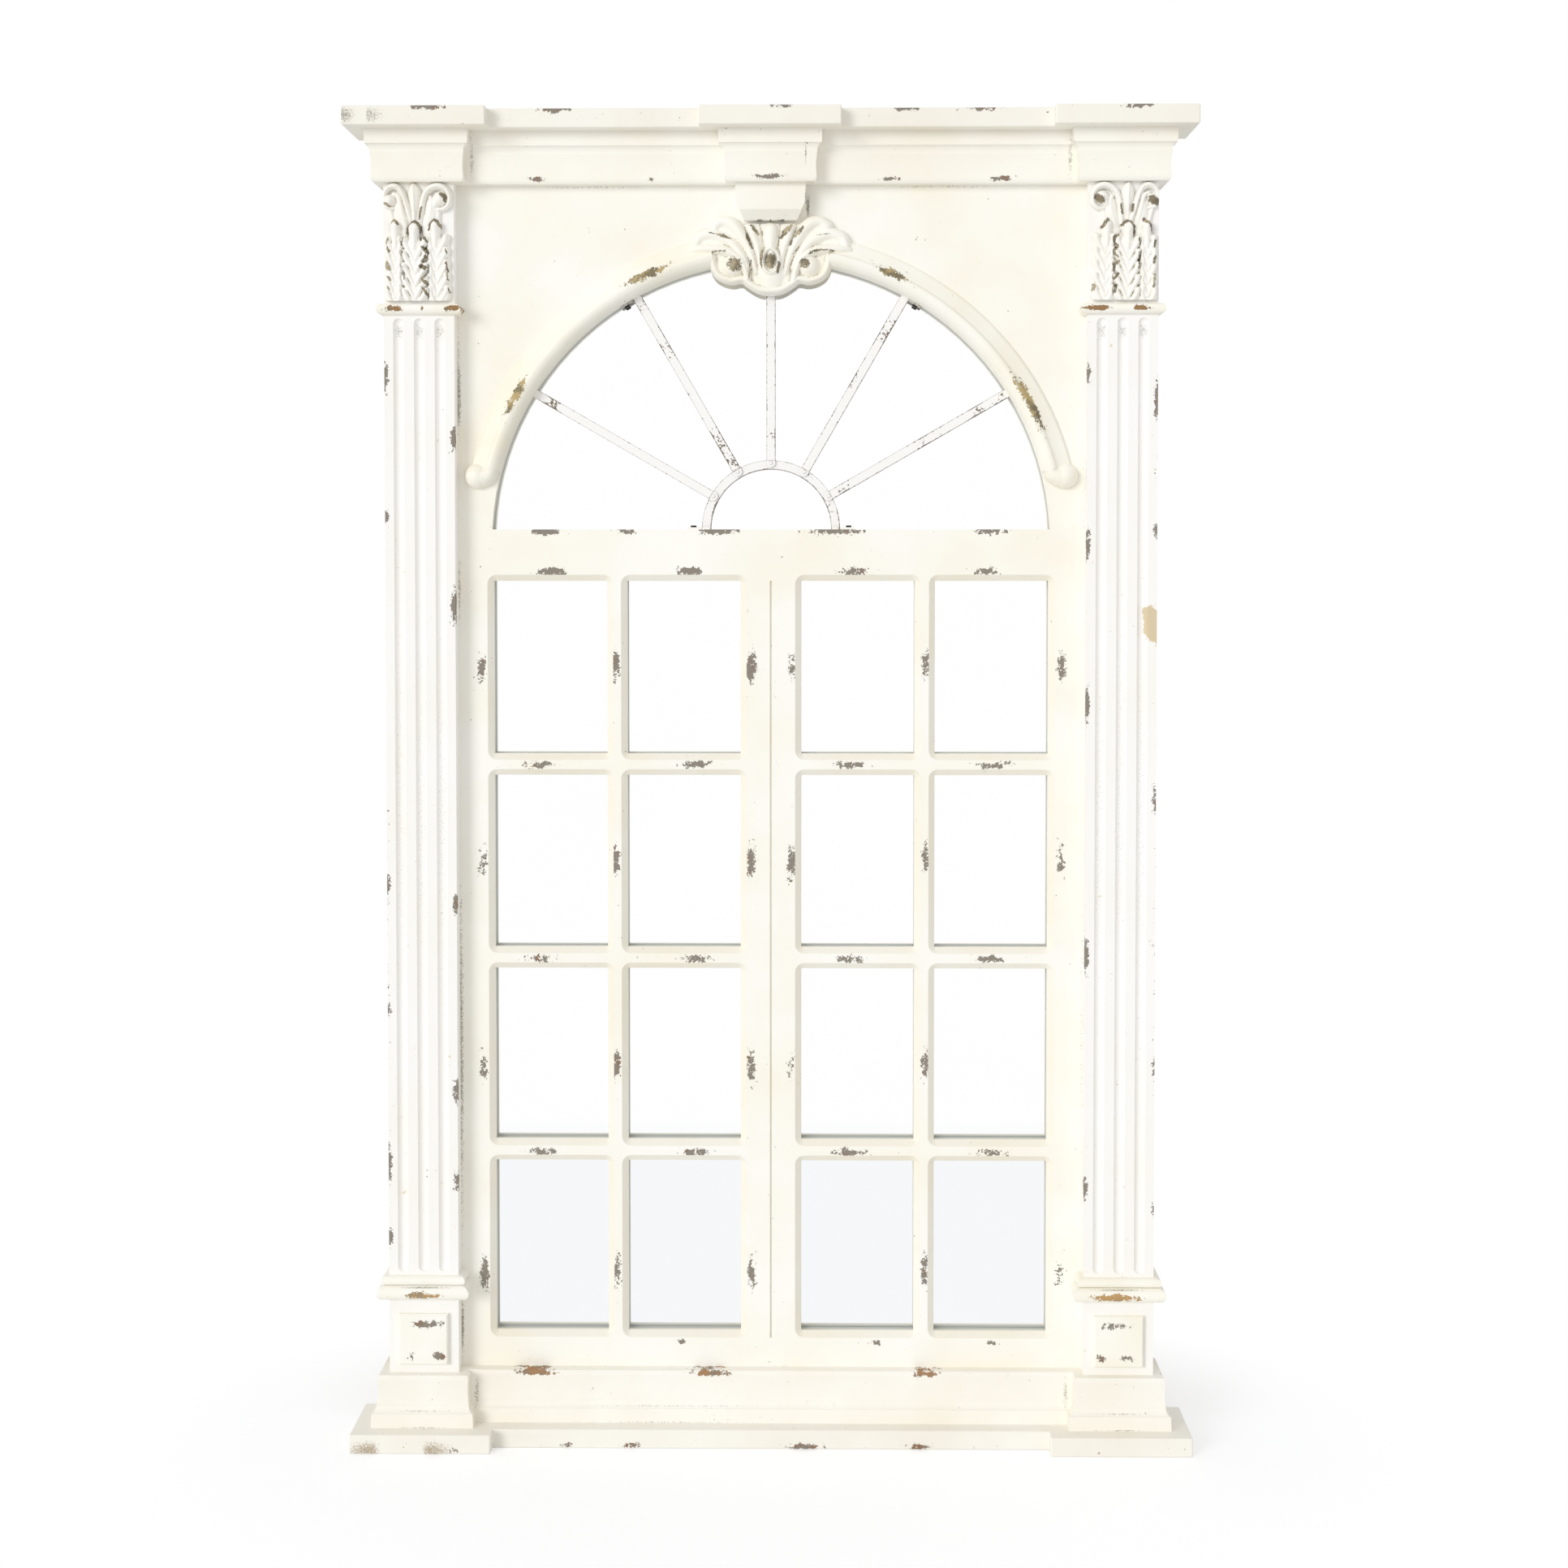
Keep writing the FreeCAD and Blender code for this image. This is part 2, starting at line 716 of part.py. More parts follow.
def ellipsoid(body, x, y, z, across, deep, tall):
    """A rounded lump added to the body; the three radii are given by direction."""
    made = body.newObject("PartDesign::AdditiveEllipsoid", "Lump")
    bind(made, "Radius1", tall)
    bind(made, "Radius2", across)
    bind(made, "Radius3", deep)
    body.Tip = made
    return place(made, x, y, z)


def ball(body, x, y, z, radius):
    made = body.newObject("PartDesign::AdditiveSphere", "Ball")
    bind(made, "Radius", radius)
    body.Tip = made
    return place(made, x, y, z)


def lean(thing, side, across, rise):
    """Leans a thing to the right (1) or left (-1), to the slope of a line across and up."""
    angle = as_size(across).angle_from(as_size(rise))
    turn(thing, Rotation(Vector(0, side, 0), angle.value))
    bind(thing, "Placement.Rotation.Angle", angle)
    return thing


def petal(body, focus, side, across, rise, radius):
    """A petal of the shell: it widens from the focus and ends in a round."""
    ray = body.newObject("PartDesign::AdditiveCone", "Petal")
    bind(ray, "Radius1", shell_petal_root)
    bind(ray, "Radius2", radius)
    bind(ray, "Height", (across * across + rise * rise).root())
    lean(ray, side, across, rise)
    body.Tip = ray
    place(ray, 0, panel_face, focus)
    ball(body, across * side, panel_face, focus + rise, radius)


def clear_behind(body, depth_place, low, high):
    """Cuts off what lies behind a plane, so that the carving sits flat on what carries it."""
    sketch = front_sketch(body, "Seat", depth_place)
    draw_box(sketch, -panel_half, panel_half, low, high)
    pocket(body, sketch, wall - front, reverse=False)


def shell():
    """Seven petals that fan out from a bowl, with a scroll eye each side and an oval boss."""
    focus = sill + shell_focus_rise
    body = new_body("shell_cartouche")
    ellipsoid(body, 0, panel_face, focus - 4, shell_bowl_radius, shell_relief, shell_bowl_radius)
    for side in (-1, 1):
        eye_x = shell_eye_x * side
        eye_z = focus + shell_eye_rise
        ellipsoid(body, eye_x, panel_face, eye_z - 3, shell_scroll_radius, shell_relief * 0.85,
                  shell_scroll_radius)
        ellipsoid(body, eye_x, panel_face - shell_relief * 0.7, eye_z, shell_eye_radius,
                  shell_eye_radius * 0.8, shell_eye_radius)
        petal(body, focus, side, crown_petal_x, crown_petal_rise, crown_petal_radius)
        petal(body, focus, side, high_petal_x, high_petal_rise, high_petal_radius)
        petal(body, focus, side, low_petal_x, low_petal_rise, low_petal_radius)
    petal(body, focus, 1, as_size(0), crown_petal_rise, crown_petal_radius)
    ellipsoid(body, 0, panel_face - shell_relief * 0.8, focus + shell_boss_height / 2,
              shell_boss_width / 2, shell_relief * 0.45, shell_boss_height / 2)
    clear_behind(body, panel_face, focus - shell_bowl_radius * 2, head_bottom)
    return finish(body)


shell_cartouche = shell()


# ---------------------------------------------------------------- moulding round the arch

def arch_moulding(side_name, side):
    """Half of the arch's moulding: a lip, a swelling that rises to a ridge and a shallow hollow,
    swept round the opening, with a scroll ball at its foot; its head is scribed to the shell."""
    body = new_body(f"arch_sweep_{side_name}")
    section = new_sketch(body, "Section", "YZ_Plane")
    bind(section, "AttachmentOffset.Base.y", arch_centre)
    ridge = arch_radius + arch_ridge_reach
    outer = arch_radius + arch_moulding_width
    draw(section, [(panel_face, arch_radius),
                   (panel_face - arch_lip, arch_radius, -arch_swell_radius),
                   (panel_face - arch_ridge_height, ridge, arch_hollow_radius),
                   (panel_face - arch_hem, outer),
                   (panel_face, outer)])
    scroll_z = sill + scroll_rise
    sweep = body.newObject("PartDesign::Revolution", "Sweep")
    sweep.Profile = section
    sweep.ReferenceAxis = (section, ["H_Axis"])
    sweep.Reversed = side < 0
    bind(sweep, "Angle", scroll_x.angle_from(scroll_z - arch_centre))
    body.Tip = sweep
    hidden = front_sketch(body, "UnderShell", panel_face)
    inside, outside = sorted((side * 1, side * 0))
    reach = shell_eye_x + shell_scroll_radius * 0.8
    draw_box(hidden, reach * inside, reach * outside, arch_centre, head_bottom)
    pocket(body, hidden)
    ball(body, scroll_x * side, panel_face - arch_hem, scroll_z, scroll_radius)
    ellipsoid(body, (scroll_x - scroll_curl_radius) * side, panel_face,
              scroll_z - scroll_curl_radius * 0.65, scroll_radius * 0.88,
              scroll_curl_radius * 1.4, scroll_radius * 0.85)
    clear_behind(body, panel_face, arch_centre, head_bottom)
    return finish(cut(body, shell_cartouche, f"arch_moulding_{side_name}"))


for side_name, side in (("left", -1), ("right", 1)):
    arch_moulding(side_name, side)


# ---------------------------------------------------------------- capitals

def leaf(body, middle, low):
    """An acanthus leaf: five lobes a side cut as scallops, a raised rib and a tip that rolls over."""
    lobe = leaf_height * LOBE_SHARE
    valley = leaf_width * VALLEY_SHARE
    depth_of_cut = leaf_width / 2 - valley
    bend = (lobe * lobe / 4 + depth_of_cut * depth_of_cut) / (depth_of_cut * 2)
    first = low + leaf_height * FIRST_LOBE_SHARE
    shoulder = low + leaf_height - leaf_tip_radius
    outline = [(middle + valley * 0.8, low)]
    outline += [(middle + valley, first + lobe * step, bend) for step in range(LOBES)]
    outline += [(middle + valley, first + lobe * LOBES),
                (middle + leaf_tip_radius, shoulder, leaf_tip_radius),
                (middle, low + leaf_height, leaf_tip_radius),
                (middle - leaf_tip_radius, shoulder)]
    outline += [(middle - valley, first + lobe * step, bend) for step in range(LOBES, 0, -1)]
    outline += [(middle - valley, first), (middle - valley * 0.8, low)]
    pad(body, draw(front_sketch(body, "Leaf", pilaster_face), outline), leaf_relief)
    rib = body.newObject("PartDesign::AdditiveCone", "Rib")
    bind(rib, "Radius1", leaf_rib_radius)
    bind(rib, "Radius2", leaf_rib_radius / 2)
    bind(rib, "Height", leaf_height - leaf_tip_radius)
    body.Tip = rib
    place(rib, middle, pilaster_face - leaf_relief, low)
    ellipsoid(body, middle, pilaster_face - leaf_relief, shoulder, leaf_tip_radius * 1.1,
              leaf_tip_radius * 0.8, leaf_tip_radius * 0.9)


def volute(body, middle, side, low):
    """A stem that rises behind the leaves and rolls outwards into a scroll with a raised eye."""
    eye_x = middle + volute_x * side
    eye_z = head_bottom - volute_drop
    inner = middle + as_size(2) * side
    stem_top = eye_z + volute_radius
    bend = (volute_radius * 4) * side
    sketch = front_sketch(body, "Stem", pilaster_face)
    draw(sketch, [(inner, low), (inner + stem_width * side, low, bend),
                  (eye_x, eye_z), (eye_x, stem_top)]
         if side > 0 else
         [(inner + stem_width * side, low), (inner, low),
          (eye_x, stem_top), (eye_x, eye_z, bend)])
    pad(body, sketch, volute_relief * 0.6)
    pad(body, draw_circle(front_sketch(body, "Scroll", pilaster_face), eye_x, eye_z, volute_radius),
        volute_relief * 0.8)
    ellipsoid(body, eye_x, pilaster_face - volute_relief * 0.8, eye_z, volute_radius * 0.6,
              volute_relief * 0.35, volute_radius * 0.6)


def capital(side_name, side):
    """Three leaves, a volute on each flank and a bud between them, carved as one piece."""
    middle = pilaster_x * side
    low = necking_top + leaf_seat
    body = new_body(f"capital_{side_name}")
    for outward in (-1, 1):
        volute(body, middle, outward, low + leaf_height * 0.8)
    for outward in (-1, 1, 0):
        leaf(body, middle + leaf_spacing * outward, low)
    ellipsoid(body, middle, pilaster_face, head_bottom - bud_height / 2, bud_radius,
              volute_relief * 0.8, bud_height / 2)
    clear_behind(body, pilaster_face, necking_top, head_bottom)
    return finish(body)


for side_name, side in (("left", -1), ("right", 1)):
    capital(side_name, side)


# ---------------------------------------------------------------- iron fan

UPRIGHT_AXIS = Vector(0, 1, 0)
SPOKE_ANGLES = (-60, -30, 0, 30, 60)
spoke_face = panel_face + fan_setback
hub_face = spoke_face + iron_thickness
hub_back = hub_face + iron_thickness
rivet_reach = hub_radius - iron_width * 0.3


def along_depth(thing):
    """Turns a cylinder or cone so that its length runs into the object."""
    return turn(thing, Rotation(Vector(1, 0, 0), -90))


def cone(foot_radius, head_radius, length):
    made = document.addObject("Part::Cone", "Cone")
    bind(made, "Radius1", foot_radius)
    bind(made, "Radius2", head_radius)
    bind(made, "Height", length)
    return made


def rivet(x, z):
    """A shank through spoke and ring, with a flattened head at each end."""
    shank = place(along_depth(cylinder(rivet_radius, iron_thickness * 2)), x, spoke_face, z)
    head = place(along_depth(cone(rivet_radius, rivet_head_radius, rivet_head_height)),
                 x, spoke_face - rivet_head_height, z)
    tail = place(along_depth(cone(rivet_head_radius, rivet_radius, rivet_head_height)),
                 x, hub_back, z)
    return fuse([head, shank, tail], "rivet")


def iron_screw(x, y, z, side, across, rise):
    """A pan-head wood screw whose shank points along a line that far across and up."""
    head = cylinder(iron_screw_head_radius, iron_screw_head_height)
    place(head, 0, 0, -iron_screw_head_height)
    shank = cylinder(iron_screw_radius, iron_screw_length)
    screw = fuse([head, shank], "iron_screw")
    return place(lean(screw, side, across, rise), x, y, z)


def on_arch(angle, sideways):
    """Where a line that runs beside a right-hand spoke meets the arch, from the arch's centre."""
    sine, cosine = math.sin(math.radians(angle)), math.cos(math.radians(angle))
    offset = sideways - arch_drop * sine
    along = (arch_radius * arch_radius - offset * offset).root() - arch_drop * cosine
    return sideways * cosine + along * sine, arch_drop - sideways * sine + along * cosine


def fan():
    rivets = []
    for angle in SPOKE_ANGLES:
        turned = math.radians(angle)
        rivets.append(rivet(rivet_reach * math.sin(turned), sill + rivet_reach * math.cos(turned)))
    rivet_set = finish(group(rivets, "fan_rivets"))

    screws = []
    iron_middle = hub_face + iron_thickness / 2
    across, rise = on_arch(SPOKE_ANGLES[3], iron_width / 2 + foot_length * 0.6)
    inset = (arch_radius - iron_thickness) / arch_radius
    for side in (-1, 1):
        screws.append(iron_screw((hub_radius + foot_length * 0.6) * side, iron_middle,
                                 sill + iron_thickness, 1, 0, -1))
        screws.append(iron_screw(across * inset * side, iron_middle,
                                 arch_centre + rise * inset, side, across, rise))
    screw_set = finish(group(screws, "fan_screws"))

    ring = new_body("hub_blank")
    inner = hub_radius - iron_width
    outline = [(hub_radius, sill, hub_radius), (0, sill + hub_radius, hub_radius),
               (-hub_radius, sill), (-inner, sill, -inner), (0, sill + inner, -inner),
               (inner, sill)]
    pad(ring, draw(front_sketch(ring, "HalfRing", hub_back), outline), iron_thickness)
    for side in (-1, 1):
        ends = sorted((inner * side, (hub_radius + foot_length) * side), key=lambda one: one.value)
        foot_plan = front_sketch(ring, "Foot", iron_middle + iron_width / 2)
        pad(ring, draw_box(foot_plan, ends[0], ends[1], sill, sill + iron_thickness), iron_width)
    finish(cut(cut(ring, rivet_set, "hub_drilled"), screw_set, "fan_hub"))

    arch_bore = along_depth(cylinder(arch_radius, panel_thickness))
    place(arch_bore, 0, panel_face, arch_centre)
    tab_bore = along_depth(cylinder(arch_radius - iron_thickness, panel_thickness))
    place(tab_bore, 0, panel_face, arch_centre)
    half = iron_width / 2
    for number, angle in enumerate(SPOKE_ANGLES, 1):
        blank = new_body("spoke_blank")
        bar = front_sketch(blank, "Bar", hub_face)
        draw(bar, [(-half, rivet_reach, half), (0, rivet_reach - half, half), (half, rivet_reach),
                   (half, arch_radius), (-half, arch_radius)])
        pad(blank, bar, iron_thickness)
        swing(blank, angle)
        shape = common(blank, arch_bore, "spoke_bar")
        if abs(angle) == 30:
            side = 1 if angle > 0 else -1
            ends = sorted((half * side * 0.5, (half + foot_length) * side),
                          key=lambda one: one.value)
            tab = new_body("tab_blank")
            plan = front_sketch(tab, "Tab", iron_middle + half)
            draw_box(plan, ends[0], ends[1], arch_radius * 0.85, arch_radius * 1.1)
            pad(tab, plan, iron_width)
            swing(tab, angle)
            curved = cut(common(tab, arch_bore, "tab_outer"), tab_bore, "tab")
            shape = cut(fuse([shape, curved], "spoke_with_tab"), screw_set, "spoke_drilled")
        finish(cut(shape, rivet_set, f"fan_spoke_{number}"))
    return screw_set


def swing(body, angle):
    """Leans a body, drawn round the hub's centre, over to one side."""
    turn(body, Rotation(UPRIGHT_AXIS, angle))
    return place(body, 0, 0, sill)


def common(first, second, label):
    made = document.addObject("Part::Common", label)
    made.Base = first
    made.Tool = second
    made.Label = label
    return made


fan_screws = fan()


# ---------------------------------------------------------------- frame, mirrors and backing

inner_half = panel_half - batten_width
glass_back = panel_back + glass_thickness
backing_back = glass_back + backing_thickness
strip_back = backing_back + strip_thickness
lower_bay = (pane_bottom - glass_lap - glass_clearance, pane_top + glass_lap + glass_clearance)
upper_bay = (sill - glass_lap - glass_clearance, arch_crown + glass_lap + glass_clearance)
hanger_z = head_bottom - hanger_drop
hanger_x = panel_half - batten_width / 2


def countersunk(radius, length, head_radius, head_height, x, z):
    """A countersunk screw driven from the wall side, its head flush with the frame."""
    shank = place(along_depth(cylinder(radius, length)), x, wall - length, z)
    head_cone = place(along_depth(cone(radius, head_radius, head_height)), x, wall - head_height, z)
    return fuse([shank, head_cone], "countersunk_screw")


def frame_screw_set():
    screws = []
    for side in (-1, 1):
        for level in (foot_top, pane_bottom + pane_pitch, pane_bottom + pane_pitch * 3, head_bottom):
            screws.append(countersunk(frame_screw_radius, frame_screw_length,
                                      frame_screw_head_radius, frame_screw_head_height,
                                      hanger_x * side, level))
        for level in ((foot_bottom + lower_bay[0]) / 2, (lower_bay[1] + upper_bay[0]) / 2,
                      (upper_bay[1] + head_top) / 2):
            screws.append(countersunk(frame_screw_radius, frame_screw_length,
                                      frame_screw_head_radius, frame_screw_head_height,
                                      inner_half * 0.6 * side, level))
    return finish(group(screws, "frame_screws"))


def hanger_screw_set():
    screws = []
    for side in (-1, 1):
        for end in (-1, 1):
            screws.append(countersunk(hanger_screw_radius, hanger_screw_length,
                                      hanger_screw_radius * 2, hanger_thickness,
                                      hanger_x * side, hanger_z + hanger_screw_spacing / 2 * end))
    return finish(group(screws, "hanger_screws"))


def hanger(side_name, side):
    """A steel keyhole plate let in flush with the back of the frame."""
    x = hanger_x * side
    half = hanger_width / 2
    body = board(f"hanger_blank_{side_name}", x - half, x + half, wall - hanger_thickness, wall,
                 hanger_z - hanger_height / 2, hanger_z + hanger_height / 2)
    entry = hanger_z - keyhole_travel / 2
    slot = hanger_z + keyhole_travel / 2
    pocket(body, draw_circle(front_sketch(body, "Entry", wall), x, entry, keyhole_entry_radius))
    narrow = keyhole_slot_radius
    pocket(body, draw(front_sketch(body, "Slot", wall),
                      [(x + narrow, entry), (x + narrow, slot, narrow), (x, slot + narrow, narrow),
                       (x - narrow, slot), (x - narrow, entry)]))
    return finish(cut(body, hanger_screws, f"hanger_plate_{side_name}"))


def stile(side_name, side):
    """An upright of the back frame, recessed for the hanger and for the screw head behind it."""
    edges = sorted((inner_half * side, panel_half * side), key=lambda one: one.value)
    body = board(f"stile_blank_{side_name}", edges[0], edges[1], panel_back, wall,
                 foot_bottom, head_top)
    x = hanger_x * side
    half = hanger_width / 2
    recess = draw_box(front_sketch(body, "Recess", wall), x - half, x + half,
                      hanger_z - hanger_height / 2, hanger_z + hanger_height / 2)
    pocket(body, recess, hanger_thickness, reverse=True)
    room = keyhole_entry_radius * 1.4
    hollow = draw_box(front_sketch(body, "Hollow", wall), x - room, x + room,
                      hanger_z - keyhole_travel / 2 - room, hanger_z + keyhole_travel / 2 + room)
    pocket(body, hollow, keyhole_pocket_depth, reverse=True)
    return finish(cut(cut(body, frame_screws, f"stile_drilled_{side_name}"), hanger_screws,
                      f"back_stile_{side_name}"))


def rail(name, low, high):
    body = board(f"rail_blank_{name}", -inner_half, inner_half, panel_back, wall, low, high)
    return finish(cut(body, frame_screws, f"back_rail_{name}"))


def bay(name, low, high):
    """One mirror with its backing board, held by four strips against the frame's inner edges."""
    side_edge = inner_half - glass_clearance
    finish(board(f"{name}_mirror", -side_edge, side_edge, panel_back, glass_back,
                 low + glass_clearance, high - glass_clearance))
    finish(board(f"{name}_backing", -side_edge, side_edge, glass_back, backing_back,
                 low + glass_clearance, high - glass_clearance))
    inside = inner_half - strip_width
    finish(board(f"{name}_strip_left", -inner_half, -inside, backing_back, strip_back, low, high))
    finish(board(f"{name}_strip_right", inside, inner_half, backing_back, strip_back, low, high))
    finish(board(f"{name}_strip_bottom", -inside, inside, backing_back, strip_back,
                 low, low + strip_width))
    finish(board(f"{name}_strip_top", -inside, inside, backing_back, strip_back,
                 high - strip_width, high))


frame_screws = frame_screw_set()
hanger_screws = hanger_screw_set()
for side_name, side in (("left", -1), ("right", 1)):
    hanger(side_name, side)
    stile(side_name, side)
rail("bottom", foot_bottom, lower_bay[0])
rail("middle", lower_bay[1], upper_bay[0])
rail("top", upper_bay[1], head_top)
bay("lower", *lower_bay)
bay("upper", *upper_bay)
finish(cut(cut(face_panel(), fan_screws, "face_panel_drilled"), frame_screws, "face_panel"))


# ---------------------------------------------------------------- write the pieces

document.recompute()
for thing in document.Objects:
    if "Invalid" in thing.State or "Error" in thing.State:
        raise RuntimeError(f"{thing.Label} failed: {thing.State}")
os.makedirs("parts", exist_ok=True)
for piece in nodes:
    if piece.Shape.isNull() or not piece.Shape.isValid():
        raise RuntimeError(f"{piece.Label} has no valid shape")
    piece.Shape.exportStep(f"parts/{piece.Label}.step")
print(len(nodes), "pieces written")
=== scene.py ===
"""The looks of the arched window mirror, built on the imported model's fixed frame."""

import math

import bpy
import numpy as np
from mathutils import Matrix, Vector


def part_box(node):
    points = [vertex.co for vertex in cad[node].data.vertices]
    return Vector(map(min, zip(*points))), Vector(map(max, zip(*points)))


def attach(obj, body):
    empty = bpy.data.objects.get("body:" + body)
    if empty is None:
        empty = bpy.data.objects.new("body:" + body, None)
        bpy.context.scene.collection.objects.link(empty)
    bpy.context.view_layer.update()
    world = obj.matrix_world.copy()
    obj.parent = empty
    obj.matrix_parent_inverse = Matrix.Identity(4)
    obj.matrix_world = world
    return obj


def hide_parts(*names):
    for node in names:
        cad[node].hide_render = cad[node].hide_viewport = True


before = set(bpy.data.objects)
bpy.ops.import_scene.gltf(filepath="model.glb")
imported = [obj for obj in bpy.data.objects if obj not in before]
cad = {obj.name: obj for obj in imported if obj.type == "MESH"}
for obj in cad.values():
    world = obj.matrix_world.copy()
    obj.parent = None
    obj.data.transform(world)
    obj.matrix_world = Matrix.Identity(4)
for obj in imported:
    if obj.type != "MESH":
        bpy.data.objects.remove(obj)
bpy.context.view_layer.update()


# ---------------------------------------------------------------------------------------------
# Face panel. One board with sixteen bevelled openings and the arched one. Wood in several thin
# coats of warm white paint, brushed on, rubbed through by hand at the edges down to a grey-brown
# undercoat. It is glued and screwed to the back frame and carries all the front's mouldings.
# ---------------------------------------------------------------------------------------------
def linear(code):
    """The linear colour of an sRGB hex code."""
    shares = [int(code[i : i + 2], 16) / 255 for i in (0, 2, 4)]
    return (*[s / 12.92 if s <= 0.04045 else ((s + 0.055) / 1.055) ** 2.4 for s in shares], 1.0)


def add(tree, kind, settings={}, links={}):
    """Adds a node: settings go to its properties or inputs, links bring other nodes to its inputs."""
    node = tree.nodes.new(kind)
    for key, value in settings.items():
        if isinstance(key, int) or key in node.inputs:
            node.inputs[key].default_value = value
        else:
            setattr(node, key, value)
    for key, source in links.items():
        if isinstance(source, bpy.types.Node):
            source = source.outputs[0]
        tree.links.new(source, node.inputs[key])
    return node


def new_finish(name):
    """An empty material with the piece's own coordinates: (material, tree, place, x, y, z)."""
    finish = bpy.data.materials.new(name)
    finish.use_nodes = True
    tree = finish.node_tree
    tree.nodes.clear()
    place = add(tree, "ShaderNodeTexCoord").outputs["Object"]
    axes = add(tree, "ShaderNodeSeparateXYZ", {}, {0: place})
    return finish, tree, place, axes.outputs[0], axes.outputs[1], axes.outputs[2]


def rubbed(tree, along, places, across, at, reach):
    """How far the paint is rubbed, 0 to 1, at places (middle, half length, share) on a line, in mm."""
    low = min(middle - half for middle, half, share in places) - 1
    high = max(middle + half for middle, half, share in places) + 1
    run = add(
        tree, "ShaderNodeMapRange", {1: low / 1000, 2: high / 1000, 3: 0.0, 4: 1.0}, {0: along}
    )
    ramp = add(tree, "ShaderNodeValToRGB", {}, {0: run})
    ramp.color_ramp.interpolation = "EASE"
    stops = ramp.color_ramp.elements
    stops[0].color = (0, 0, 0, 1)
    stops[1].color = (0, 0, 0, 1)
    for middle, half, share in places:
        for where, value in ((middle - half, 0), (middle, share), (middle + half, 0)):
            stop = stops.new((where - low) / (high - low))
            stop.color = (value, value, value, 1)
    aside = add(tree, "ShaderNodeMath", {"operation": "SUBTRACT", 1: at / 1000}, {0: across})
    aside = add(tree, "ShaderNodeMath", {"operation": "ABSOLUTE"}, {0: aside})
    band = add(
        tree,
        "ShaderNodeMapRange",
        {"interpolation_type": "SMOOTHSTEP", 1: 0.0, 2: reach / 1000, 3: 1.0, 4: 0.0},
        {0: aside},
    )
    return add(tree, "ShaderNodeMath", {"operation": "MULTIPLY"}, {0: ramp, 1: band})


def largest(tree, parts):
    """The largest of several values."""
    whole = parts[0]
    for part in parts[1:]:
        whole = add(tree, "ShaderNodeMath", {"operation": "MAXIMUM"}, {0: whole, 1: part})
    return whole


